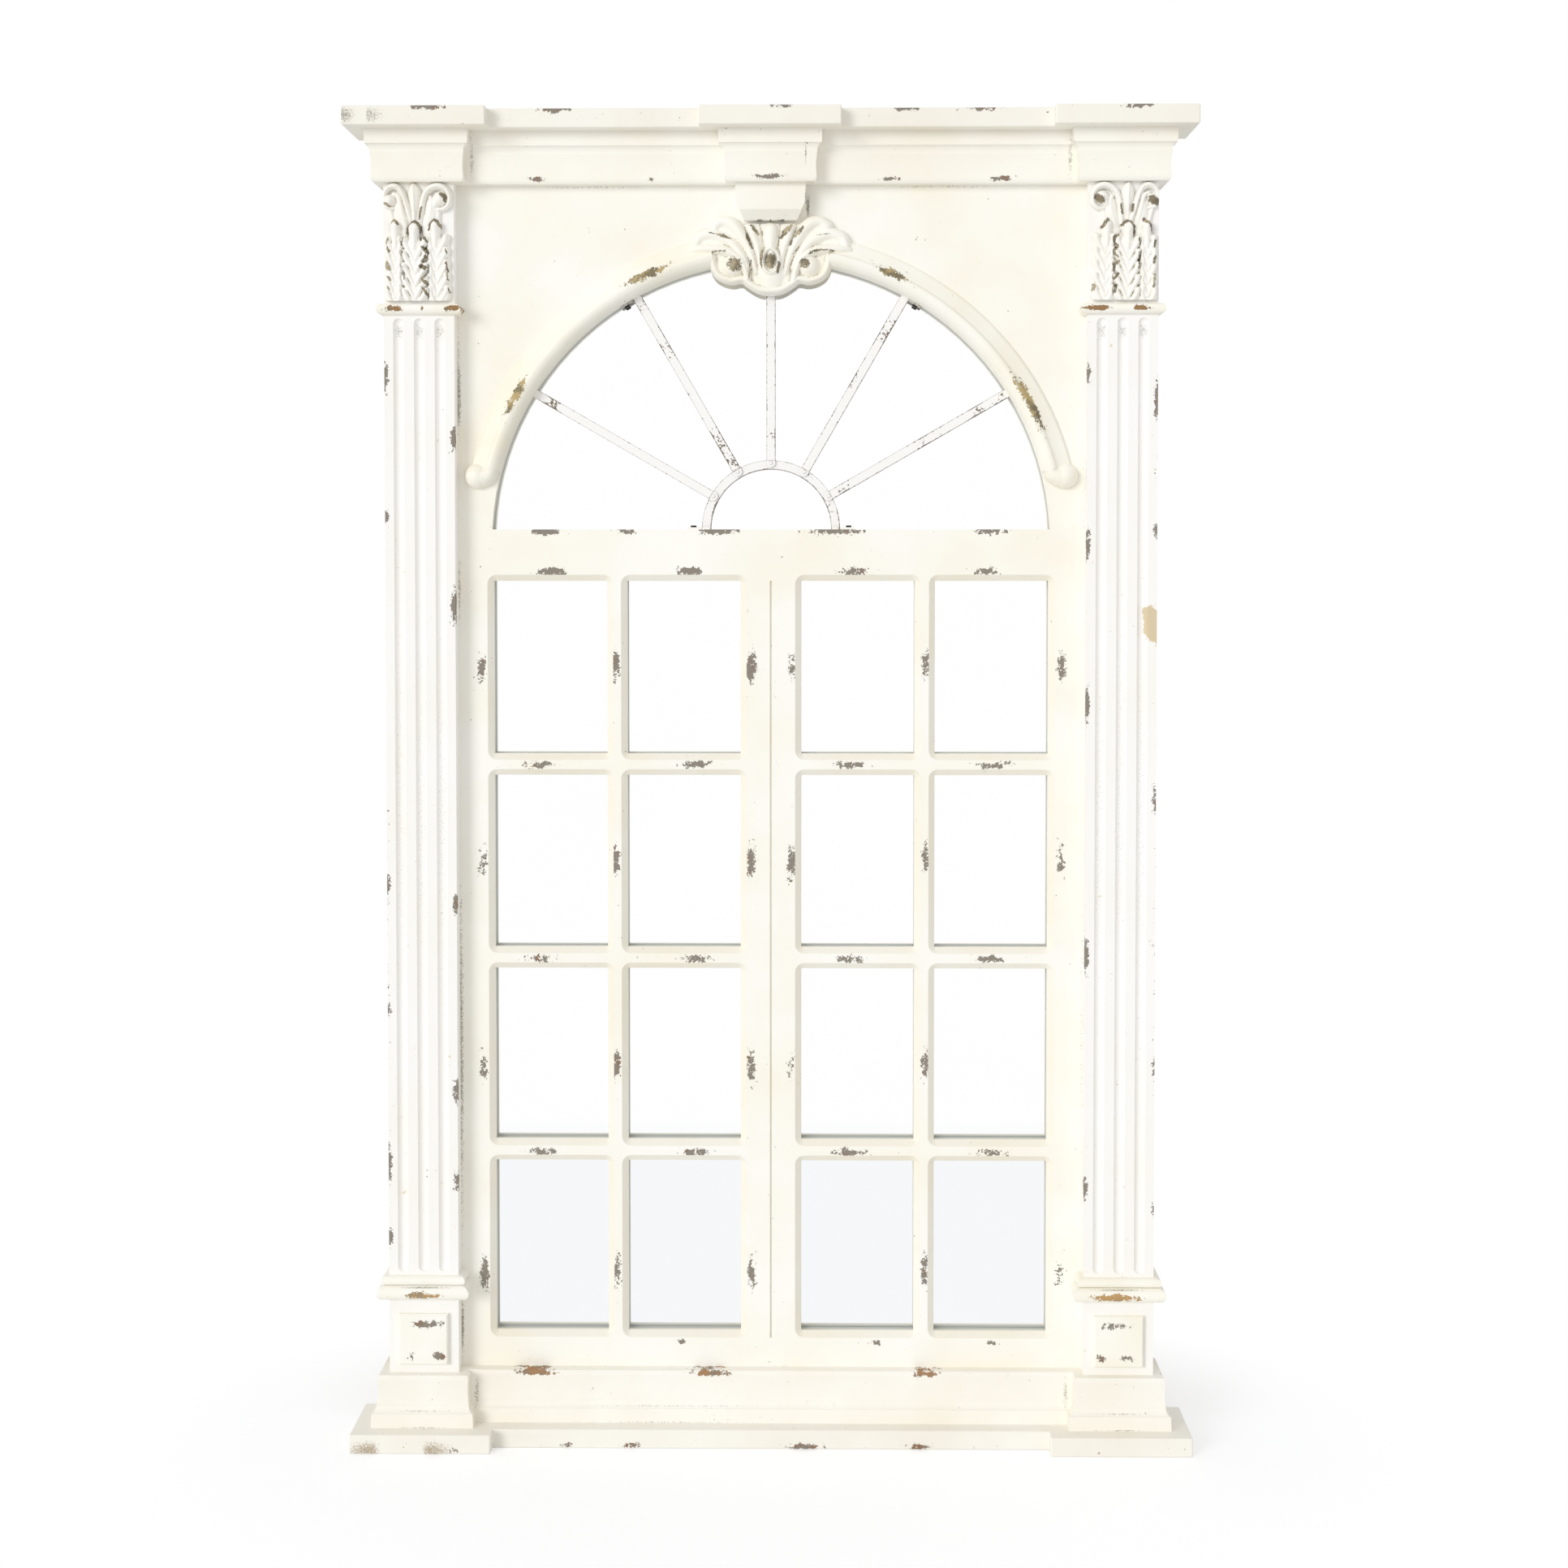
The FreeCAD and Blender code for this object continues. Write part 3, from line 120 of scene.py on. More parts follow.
def old_paint(
    tree,
    place,
    rub,
    darkening=None,
    warmth=0.2,
    coat="FDFBF3",
    aged="F8F2DF",
    under=("8F877C", "8E6F55"),
    fine=False,
    soil="A79F92",
):
    """Rubbed white paint: rub is where it has gone through, darkening its dirt and painted shade. Its
    shader.
    """
    # Bare patches: edges torn at 4 mm on carvings and 9 mm elsewhere, which is how such paint is
    # chipped with a chain or file, and flakes of about 2 mm that came off round them.
    tear = add(
        tree,
        "ShaderNodeTexNoise",
        {"Scale": 260.0 if fine else 110.0, "Detail": 7.0, "Roughness": 0.7, "Distortion": 0.3},
        {"Vector": place},
    )
    flake = add(
        tree,
        "ShaderNodeTexNoise",
        {"Scale": 620.0 if fine else 430.0, "Detail": 2.0, "Roughness": 0.5},
        {"Vector": place},
    )
    tear = add(tree, "ShaderNodeMath", {"operation": "MULTIPLY_ADD", 1: 0.45}, {0: flake, 2: tear})
    reach = add(tree, "ShaderNodeMath", {"operation": "MULTIPLY_ADD", 1: 0.5}, {0: rub, 2: tear})
    worn = add(tree, "ShaderNodeMapRange", {1: 0.955, 2: 0.97, 3: 0.0, 4: 1.0}, {0: reach})
    # Specks: single dots of about a millimetre, one in some 40 mm.
    cells = add(tree, "ShaderNodeTexVoronoi", {"Scale": 40.0, "Randomness": 1.0}, {"Vector": place})
    pick = add(tree, "ShaderNodeSeparateColor", {}, {0: cells.outputs["Color"]})
    size = add(tree, "ShaderNodeMapRange", {1: 0.72, 2: 1.0, 3: 0.0, 4: 0.045}, {0: pick})
    speck = add(tree, "ShaderNodeMath", {"operation": "LESS_THAN"}, {0: cells.outputs[0], 1: size})
    bare = largest(tree, [worn, speck])
    # The undercoat shows grey-brown, and redder where it is rubbed down to the wood.
    tone = add(
        tree,
        "ShaderNodeTexNoise",
        {"Scale": 45.0, "Detail": 3.0, "Roughness": 0.6},
        {"Vector": place},
    )
    tone = add(
        tree,
        "ShaderNodeMapRange",
        {1: 0.62 - 0.3 * warmth, 2: 0.75 - 0.3 * warmth, 3: 0.0, 4: 1.0},
        {0: tone},
    )
    under = add(
        tree,
        "ShaderNodeMix",
        {"data_type": "RGBA", 6: linear(under[0]), 7: linear(under[1])},
        {0: tone},
    )
    # The white has yellowed a little in broad clouds, 100 mm and more across.
    cloud = add(
        tree,
        "ShaderNodeTexNoise",
        {"Scale": 7.0, "Detail": 4.0, "Roughness": 0.55},
        {"Vector": place},
    )
    cloud = add(tree, "ShaderNodeMapRange", {1: 0.38, 2: 0.7, 3: 0.0, 4: 1.0}, {0: cloud})
    white = add(
        tree, "ShaderNodeMix", {"data_type": "RGBA", 6: linear(coat), 7: linear(aged)}, {0: cloud}
    )
    colour = white.outputs[2]
    # The darkening is laid in specks: dirt on most pieces, painted shadow at the keystone's foot, and
    # the carvings' darker hollows.
    if darkening is not None:
        grime_and_shade = add(
            tree,
            "ShaderNodeTexNoise",
            {"Scale": 420.0, "Detail": 4.0, "Roughness": 0.7},
            {"Vector": place},
        )
        grime_and_shade = add(
            tree, "ShaderNodeMath", {"operation": "MULTIPLY_ADD", 1: 0.5}, {0: darkening, 2: grime_and_shade}
        )
        grime_and_shade = add(tree, "ShaderNodeMapRange", {1: 0.7, 2: 0.95, 3: 0.0, 4: 0.85}, {0: grime_and_shade})
        soiled = add(
            tree, "ShaderNodeMix", {"data_type": "RGBA", 7: linear(soil)}, {0: grime_and_shade, 6: colour}
        )
        colour = soiled.outputs[2]
    colour = add(
        tree, "ShaderNodeMix", {"data_type": "RGBA"}, {0: bare, 6: colour, 7: under.outputs[2]}
    ).outputs[2]
    # Satin paint, dull where it is bare; brush marks about 3 mm wide.
    gloss = add(tree, "ShaderNodeMapRange", {1: 0.0, 2: 1.0, 3: 0.5, 4: 0.85}, {0: bare})
    brush = add(
        tree,
        "ShaderNodeTexNoise",
        {"Scale": 300.0, "Detail": 2.0, "Roughness": 0.5},
        {"Vector": place},
    )
    skin = add(tree, "ShaderNodeMath", {"operation": "MULTIPLY_ADD", 1: 0.06, 2: 1.0}, {0: brush})
    skin = add(tree, "ShaderNodeMath", {"operation": "SUBTRACT"}, {0: skin, 1: bare})
    relief = add(tree, "ShaderNodeBump", {"Strength": 0.8, "Distance": 0.0005}, {"Height": skin})
    shader = add(
        tree,
        "ShaderNodeBsdfPrincipled",
        {"IOR": 1.5, "Specular IOR Level": 0.3},
        {"Base Color": colour, "Roughness": gloss, "Normal": relief},
    )
    add(tree, "ShaderNodeOutputMaterial", {}, {0: shader})
    return shader


def dress(finish, *names):
    """Gives CAD nodes a finish in place of their plain one."""
    for name in names:
        cad[name].data.materials[0] = finish


finish, tree, place, x, y, z = new_finish("rubbed_white_paint_on_panel")
# Chips on the upright bars, one beside each pane: the bar's x, and a share for each row of panes.
pane_middles = [(1075, 40), (806, 44), (520, 40), (232, 44)]
upright_shares = {
    -399: (0.66, 0.55, 0.62, 0.78),
    -215: (0.75, 0.72, 0.7, 0.68),
    -27: (0.85, 0.75, 0.72, 0.7),
    29: (0.55, 0.72, 0.5, 0.0),
    214: (0.66, 0.6, 0.74, 0.68),
    401: (0.68, 0.52, 0.0, 0.45),
}
panel_rubs = []
for line, shares in upright_shares.items():
    spots = [
        (middle + (line % 7) * 2 - 6, half, share)
        for (middle, half), share in zip(pane_middles, shares)
        if share
    ]
    panel_rubs.append(rubbed(tree, z, spots, x, line, 13))
# Chips along the rails, by their height and reach: three between the panes, two on the transom and
# one at the foot.
between_panes = [(-320, 46, 0.62), (-104, 46, 0.68), (110, 42, 0.7), (306, 46, 0.66)]
rail_chips = [
    (937, 11, between_panes),
    (667, 11, between_panes),
    (397, 11, between_panes),
    (1261, 12, [(-311, 40, 0.85), (-200, 26, 0.7), (-72, 48, 0.95), (86, 66, 0.9), (302, 42, 0.72)]),
    (1204, 12, [(-302, 38, 0.85), (-112, 36, 0.8), (115, 40, 0.7), (297, 34, 0.68)]),
    (130, 8, [(-125, 20, 0.55), (147, 22, 0.55), (308, 20, 0.55)]),
]
for height, reach, spots in rail_chips:
    panel_rubs.append(rubbed(tree, x, spots, z, height, reach))
# Dust and dark specks lie beside each pilaster, under the crown moulding and beside the keystone.
joints = [
    rubbed(tree, z, [(1430, 170, 0.9), (1180, 190, 0.65), (560, 520, 0.75)], x, -431, 8),
    rubbed(tree, z, [(1300, 300, 0.35), (560, 520, 0.4)], x, 431, 8),
    rubbed(tree, z, [(150, 75, 0.95)], x, -431, 6),
    rubbed(tree, x, [(-235, 180, 0.5), (235, 180, 0.5)], z, 1731, 3),
    rubbed(tree, z, [(1704, 26, 1.0)], x, 51, 5),
]
# The chips stop short at the arris of each bevel: only the flat face is chipped.
facing = add(tree, "ShaderNodeNewGeometry").outputs["Normal"]
facing = add(tree, "ShaderNodeSeparateXYZ", {}, {0: facing})
flat = add(tree, "ShaderNodeMath", {"operation": "LESS_THAN", 1: -0.9}, {0: facing.outputs[1]})
chipped = largest(tree, panel_rubs)
chipped = add(tree, "ShaderNodeMath", {"operation": "MULTIPLY"}, {0: chipped, 1: flat})
darkening = largest(tree, joints)
shader = old_paint(tree, place, chipped, darkening, coat="FDFBF4", aged="FAF5E6", soil="8C8676")
# The bevels are painted a little darker than the flat face: painted shade.
painted = shader.inputs["Base Color"].links[0].from_socket
slanted = add(
    tree, "ShaderNodeMapRange", {1: -0.93, 2: -0.82, 3: 0.0, 4: 1.0}, {0: facing.outputs[1]}
)
bevels_painted_darker = add(
    tree,
    "ShaderNodeMix",
    {"data_type": "RGBA", "blend_type": "MULTIPLY", 7: linear("F9F7F2")},
    {0: slanted, 6: painted},
)
# The last 10 mm of each opening's wall is painted grey-green, and the 2 mm against the glass
# nearly black: painted shade deep in the opening, tinted like the green glass that reflects it.
depth = add(tree, "ShaderNodeMapRange", {1: 0.0285, 2: 0.0315, 3: 0.0, 4: 1.0}, {0: y})
deeper = add(tree, "ShaderNodeMapRange", {1: 0.0378, 2: 0.0395, 3: 0.0, 4: 1.0}, {0: y})
reveal_painted_shade = add(
    tree,
    "ShaderNodeMix",
    {"data_type": "RGBA", 6: linear("C4C7BF"), 7: linear("50524E")},
    {0: deeper},
)
walled = add(
    tree,
    "ShaderNodeMix",
    {"data_type": "RGBA"},
    {0: depth, 6: bevels_painted_darker.outputs[2], 7: reveal_painted_shade.outputs[2]},
)
tree.links.new(walled.outputs[2], shader.inputs["Base Color"])
dress(finish, "face_panel")


# ---------------------------------------------------------------------------------------------
# Back frame and strips. Two uprights and three rails of planed softwood behind the panel, screwed
# together, with thin strips that hold the backing boards. Left bare: pale, with its grain along
# each length and a slight shine on the planed face.
# ---------------------------------------------------------------------------------------------
def bare_softwood(name, along):
    """Planed softwood with its grain along one axis."""
    finish, tree, place, *_ = new_finish(name)
    # Growth rings show as bands about 11 mm wide and 400 mm long.
    squeeze = [90.0, 90.0, 90.0]
    squeeze["XYZ".index(along)] = 2.5
    stretched = add(tree, "ShaderNodeMapping", {"Scale": squeeze}, {0: place})
    rings = add(
        tree,
        "ShaderNodeTexNoise",
        {"Scale": 1.0, "Detail": 5.0, "Roughness": 0.6, "Distortion": 0.8},
        {0: stretched},
    )
    ramp = add(tree, "ShaderNodeValToRGB", {}, {0: rings})
    ramp.color_ramp.elements[0].position = 0.36
    ramp.color_ramp.elements[0].color = linear("C79F6B")
    ramp.color_ramp.elements[1].position = 0.62
    ramp.color_ramp.elements[1].color = linear("E6CDA2")
    relief = add(tree, "ShaderNodeBump", {"Strength": 0.5, "Distance": 0.0003}, {"Height": rings})
    rough = add(tree, "ShaderNodeMapRange", {1: 0.3, 2: 0.7, 3: 0.7, 4: 0.55}, {0: rings})
    shader = add(
        tree,
        "ShaderNodeBsdfPrincipled",
        {"IOR": 1.5},
        {"Base Color": ramp, "Roughness": rough, "Normal": relief},
    )
    add(tree, "ShaderNodeOutputMaterial", {}, {0: shader})
    return finish


upright_wood = bare_softwood("planed_softwood_upright", "Z")
lying_wood = bare_softwood("planed_softwood_lying", "X")
dress(upright_wood, "back_stile_left", "back_stile_right")
dress(upright_wood, "lower_strip_left", "lower_strip_right", "upper_strip_left", "upper_strip_right")
dress(lying_wood, "back_rail_bottom", "back_rail_middle", "back_rail_top")
dress(lying_wood, "lower_strip_top", "lower_strip_bottom", "upper_strip_top", "upper_strip_bottom")


# ---------------------------------------------------------------------------------------------
# Mirrors. Two sheets of 4 mm float glass, silvered on the back and laid in the back frame behind
# the panel. Clear and cold: nearly all light comes back, a trace bluer.
# ---------------------------------------------------------------------------------------------
finish, tree, place, *_ = new_finish("silvered_float_glass")
# Float glass is never quite flat: a swell of some 200 mm that bends reflections a little.
swell = add(tree, "ShaderNodeTexNoise", {"Scale": 5.0, "Detail": 1.0}, {"Vector": place})
relief = add(tree, "ShaderNodeBump", {"Strength": 0.04, "Distance": 0.001}, {"Height": swell})
haze = add(tree, "ShaderNodeTexNoise", {"Scale": 30.0, "Detail": 3.0}, {"Vector": place})
haze = add(tree, "ShaderNodeMapRange", {1: 0.3, 2: 0.8, 3: 0.004, 4: 0.02}, {0: haze})
tint = add(
    tree,
    "ShaderNodeMix",
    {"data_type": "RGBA", 6: linear("FFFFFF"), 7: linear("FEFEFE")},
    {0: swell},
)
shader = add(
    tree,
    "ShaderNodeBsdfPrincipled",
    {"Metallic": 1.0},
    {"Base Color": tint.outputs[2], "Roughness": haze, "Normal": relief},
)
add(tree, "ShaderNodeOutputMaterial", {}, {0: shader})
dress(finish, "lower_mirror", "upper_mirror")


# ---------------------------------------------------------------------------------------------
# Backing boards. Two sheets of 3 mm brown hardboard behind the mirrors, held by the strips.
# Pressed fibre: dark brown with a dull face. The real fibres are under a millimetre; they are drawn
# 3 mm long so that they show.
# ---------------------------------------------------------------------------------------------
finish, tree, place, *_ = new_finish("pressed_hardboard")
fibres = add(
    tree, "ShaderNodeTexNoise", {"Scale": 350.0, "Detail": 4.0, "Roughness": 0.7}, {"Vector": place}
)
ramp = add(tree, "ShaderNodeValToRGB", {}, {0: fibres})
ramp.color_ramp.elements[0].position = 0.35
ramp.color_ramp.elements[0].color = linear("6E4A30")
ramp.color_ramp.elements[1].position = 0.7
ramp.color_ramp.elements[1].color = linear("94683F")
rough = add(tree, "ShaderNodeMapRange", {1: 0.3, 2: 0.7, 3: 0.62, 4: 0.8}, {0: fibres})
relief = add(tree, "ShaderNodeBump", {"Strength": 0.4, "Distance": 0.0003}, {"Height": fibres})
shader = add(
    tree,
    "ShaderNodeBsdfPrincipled",
    {"IOR": 1.5},
    {"Base Color": ramp, "Roughness": rough, "Normal": relief},
)
add(tree, "ShaderNodeOutputMaterial", {}, {0: shader})
dress(finish, "lower_backing", "upper_backing")


# ---------------------------------------------------------------------------------------------
# Crown slab. A thick board across the top whose front breaks forward over both pilasters and the
# keystone, glued on the crown moulding. The same white paint, rubbed through along the top edge
# and soiled at its left end.
# ---------------------------------------------------------------------------------------------
finish, tree, place, x, y, z = new_finish("rubbed_white_paint_on_crown_slab")
top_edge = [
    (-460, 44, 0.8), (-290, 42, 0.92), (14, 34, 0.6), (184, 38, 0.82), (286, 34, 0.74),
    (494, 34, 0.82),
]
rub = rubbed(tree, x, top_edge, z, 1828, 9)
ends = rubbed(tree, x, [(-572, 30, 0.8), (-540, 44, 0.7)], z, 1816, 22)
# The soiling is on the front edge and stops just round the corner.
front_edge = add(tree, "ShaderNodeMapRange", {1: -0.053, 2: -0.044, 3: 1.0, 4: 0.0}, {0: y})
ends = add(tree, "ShaderNodeMath", {"operation": "MULTIPLY"}, {0: ends, 1: front_edge})
old_paint(tree, place, rub, ends, warmth=0.25, coat="F8F5EB", aged="F4EEE1", soil="8B8373")
dress(finish, "crown_slab")


# ---------------------------------------------------------------------------------------------
# Crown moulding and keystone. Five lengths of one moulding: mitred blocks over the pilasters and
# the keystone, scribed runs between. Glued under the slab; rubbed along the bottom edge.
# ---------------------------------------------------------------------------------------------
finish, tree, place, x, y, z = new_finish("rubbed_white_paint_on_crown_moulding")
bottom_edge = [
    (-318, 20, 0.84), (-162, 10, 0.62), (-2, 42, 0.66), (162, 26, 0.72), (314, 32, 0.74),
]
rub = rubbed(tree, x, bottom_edge, z, 1739, 7)
from_middle = add(tree, "ShaderNodeMath", {"operation": "ABSOLUTE"}, {0: x})
# Dirt in the corners beside the blocks and beside the keystone; painted shadow along the keystone's
# foot.
corner_dirt_and_keystone_shadow = rubbed(tree, z, [(1770, 60, 0.6)], from_middle, 408, 6)
shadow_under_keystone = rubbed(tree, x, [(-18, 20, 1.0), (0, 20, 1.0), (18, 20, 1.0)], z, 1684, 2.5)
key_flank = rubbed(tree, z, [(1712, 30, 0.9), (1770, 30, 0.8)], x, 48, 2.5)
corner_dirt_and_keystone_shadow = largest(tree, [corner_dirt_and_keystone_shadow, shadow_under_keystone, key_flank])
old_paint(tree, place, rub, corner_dirt_and_keystone_shadow, warmth=0.3, soil="7A7468", coat="FCF9F0", aged="F8F3E5")
dress(finish, "crown_block_left", "crown_block_right", "crown_block_centre")
dress(finish, "crown_run_left", "crown_run_right", "keystone")


# ---------------------------------------------------------------------------------------------
# Base slab and base moulding. The foot repeats the crown upside down: a slab with breaks under the
# pilasters, and a moulding in three lengths on it. Rubbed brown on the upper edge of the run.
# ---------------------------------------------------------------------------------------------
finish, tree, place, x, y, z = new_finish("rubbed_white_paint_on_base_slab")
low_edge = [(-278, 12, 0.55), (-188, 24, 0.68), (46, 46, 0.78), (204, 26, 0.72), (-430, 30, 0.4)]
rub = rubbed(tree, x, sorted(low_edge), z, 4, 8)
ends = rubbed(tree, x, [(-545, 60, 0.9), (-465, 60, 0.85)], z, 5, 24)
old_paint(tree, place, rub, ends, warmth=0.5, coat="F9F6ED", aged="F4EFE3", soil="A59070")
dress(finish, "base_slab")
finish, tree, place, x, y, z = new_finish("rubbed_white_paint_on_base_moulding")
rub = rubbed(tree, x, [(-328, 54, 0.92), (-84, 46, 0.84), (214, 36, 0.84)], z, 93, 7)
from_middle = add(tree, "ShaderNodeMath", {"operation": "ABSOLUTE"}, {0: x})
# Dirt in the two seams under the blocks and the run, and in the corners beside the blocks.
in_seam = [(-479, 76, 0.6), (-150, 250, 0.5), (479, 76, 0.6)]
seams = [rubbed(tree, x, in_seam, z, line, 2) for line in (27, 48)]
seams.append(rubbed(tree, z, [(66, 46, 0.65)], from_middle, 408, 7))
old_paint(
    tree,
    place,
    rub,
    largest(tree, seams),
    warmth=0.75,
    coat="FCF9F1",
    aged="F8F3E6",
    under=("8F7F6E", "A8835F"),
    soil="8C8676",
)
dress(finish, "base_block_left", "base_block_right", "base_run")


# ---------------------------------------------------------------------------------------------
# Pilasters, beads, toruses and tablets. Flat fluted boards glued on the panel's outer edges, with
# mitred mouldings round them. Rubbed through on all four long edges.
# ---------------------------------------------------------------------------------------------
finish, tree, place, x, y, z = new_finish("rubbed_white_paint_on_pilasters")
# Chips along the four long edges, by the edge's x: how far they reach, and where they are.
edge_chips = {
    -527: (
        9,
        [(1469, 38, 0.8), (1278, 18, 0.7), (773, 30, 0.7)]
        + [(599, 22, 0.6), (388, 52, 0.8), (284, 26, 0.8)],
    ),
    -432: (11, [(1386, 30, 0.8), (1156, 44, 0.9), (748, 24, 0.9), (487, 30, 0.8), (363, 28, 0.8)]),
    432: (9, [(1473, 28, 0.74), (1242, 42, 0.8), (1020, 42, 0.82), (677, 44, 0.9), (354, 34, 0.74)]),
    527: (9, [(1438, 50, 0.84), (1261, 20, 0.74), (892, 36, 0.7), (523, 32, 0.6), (326, 22, 0.6)]),
}
edge_rubs = [
    rubbed(tree, z, spots, x, line, reach) for line, (reach, spots) in edge_chips.items()
]
flecks = [
    rubbed(tree, z, [(700, 450, 0.24), (1400, 140, 0.2)], x, line, 9) for line in (-527, 527)
]
# Grey dust in the flutes, most of it at their heads, and on the returns against the panel.
in_flutes = rubbed(tree, z, [(860, 620, 0.34), (1532, 22, 0.62)], y, -5, 4)
on_returns = rubbed(tree, z, [(640, 560, 0.42), (1400, 160, 0.5)], y, 17.5, 5)
dust = largest(tree, [in_flutes, on_returns])
# The chips reach some twelve millimetres round each arris, no further along the returns.
near_front = add(
    tree,
    "ShaderNodeMapRange",
    {"interpolation_type": "SMOOTHSTEP", 1: -0.004, 2: 0.007, 3: 1.0, 4: 0.0},
    {0: y},
)
edge_wear = largest(tree, edge_rubs + flecks)
edge_wear = add(tree, "ShaderNodeMath", {"operation": "MULTIPLY"}, {0: edge_wear, 1: near_front})
shader = old_paint(
    tree, place, edge_wear, dust, warmth=0.1, coat="FCFAF7", aged="FAF7F0", soil="A6A49C"
)
# One yellow stain on the right pilaster, about 40 mm wide and torn at its edge.
stain = rubbed(tree, z, [(1132, 50, 1.0)], x, 521, 21)
stain_edge = add(
    tree, "ShaderNodeTexNoise", {"Scale": 60.0, "Detail": 4.0, "Roughness": 0.6}, {"Vector": place}
)
stain = add(tree, "ShaderNodeMath", {"operation": "MULTIPLY_ADD", 1: 0.5}, {0: stain, 2: stain_edge})
stain = add(tree, "ShaderNodeMapRange", {1: 0.7, 2: 0.78, 3: 0.0, 4: 0.85}, {0: stain})
painted = shader.inputs["Base Color"].links[0].from_socket
stained = add(
    tree, "ShaderNodeMix", {"data_type": "RGBA", 7: linear("D5C094")}, {0: stain, 6: painted}
)
tree.links.new(stained.outputs[2], shader.inputs["Base Color"])
dress(finish, "pilaster_left", "pilaster_right")
finish, tree, place, x, y, z = new_finish("rubbed_white_paint_on_beads")
spots = [(-510, 30, 1.0), (-472, 24, 0.8), (-437, 32, 1.0), (448, 40, 1.0), (500, 30, 0.9)]
rub = rubbed(tree, x, spots, z, 1562, 7.5)
old_paint(tree, place, rub, warmth=0.9, under=("7F7466", "9A7852"))
dress(finish, "necking_bead_left", "necking_bead_right")
finish, tree, place, x, y, z = new_finish("rubbed_white_paint_on_toruses")
rub = rubbed(tree, x, [(-478, 44, 0.75), (472, 60, 0.95)], z, 208, 9)
seam = rubbed(tree, x, [(-478, 68, 0.8), (478, 68, 0.8)], z, 217.5, 2)
old_paint(tree, place, rub, seam, warmth=0.9, soil="8C8676", under=("9A8B70", "C09A66"))
dress(finish, "base_torus_left", "base_torus_right")
finish, tree, place, x, y, z = new_finish("rubbed_white_paint_on_tablets")
high = rubbed(tree, x, [(-474, 40, 0.78), (474, 40, 0.6)], z, 165, 10)
low = rubbed(tree, x, [(-494, 20, 0.6), (-462, 26, 0.85), (457, 16, 0.78), (490, 24, 0.5)], z, 121, 10)
old_paint(tree, place, largest(tree, [high, low]), warmth=0.3)
dress(finish, "tablet_left", "tablet_right")


# ---------------------------------------------------------------------------------------------
# Arch moulding. Two halves bent round the arch, each a full roll with a lower flat band outside it.
# The roll curls outward into a scroll at the foot; the head runs under the shell. Carved wood,
# painted like the rest and rubbed through on the roll in a few long places.
# ---------------------------------------------------------------------------------------------
def smooth_run(points):
    """A smooth run through points of any number of values each, ten steps between two of them."""
    points = np.array(points, float)
    knots = np.vstack([2 * points[0] - points[1], points, 2 * points[-1] - points[-2]])
    run = []
    for a, b, c, d in zip(knots[:-3], knots[1:-2], knots[2:-1], knots[3:]):
        for t in np.linspace(0, 1, 10, endpoint=False):
            bend = (2 * a - 5 * b + 4 * c - d) * t * t + (3 * b - a - 3 * c + d) * t**3
            run.append(0.5 * (2 * b + (c - a) * t + bend))
    run.append(points[-1])
    return np.array(run)


def press(field, x, z, stroke, flat=1.0):
    """Lays a rounded stroke on a height field. Its points are (x, z, half width, height) in mm."""
    run = smooth_run(stroke)
    run[:, 2] = np.maximum(run[:, 2], 0.3)
    for a, b in zip(run[:-1], run[1:]):
        wide = max(a[2], b[2])
        left, right = np.searchsorted(x, [min(a[0], b[0]) - wide, max(a[0], b[0]) + wide])
        foot, head = np.searchsorted(z, [min(a[1], b[1]) - wide, max(a[1], b[1]) + wide])
        if left == right or foot == head:
            continue
        across = x[None, left:right] - a[0]
        up = z[foot:head, None] - a[1]
        dx, dz = b[0] - a[0], b[1] - a[1]
        share = np.clip((across * dx + up * dz) / max(dx * dx + dz * dz, 1e-9), 0, 1)
        off = np.hypot(across - share * dx, up - share * dz)
        half = a[2] + share * (b[2] - a[2])
        rise = a[3] + share * (b[3] - a[3])
        fall = np.clip(1 - (off / half) ** 2, 0, 1) ** (0.5 * flat)
        patch = field[foot:head, left:right]
        np.maximum(patch, rise * fall, out=patch)


def blurred(field, sigma):
    """A height field softened over sigma grid steps."""
    reach = int(3 * sigma + 1)
    weights = np.exp(-0.5 * (np.arange(-reach, reach + 1) / sigma) ** 2)
    weights /= weights.sum()
    for axis in (0, 1):
        field = np.apply_along_axis(lambda row: np.convolve(row, weights, "same"), axis, field)
    return field


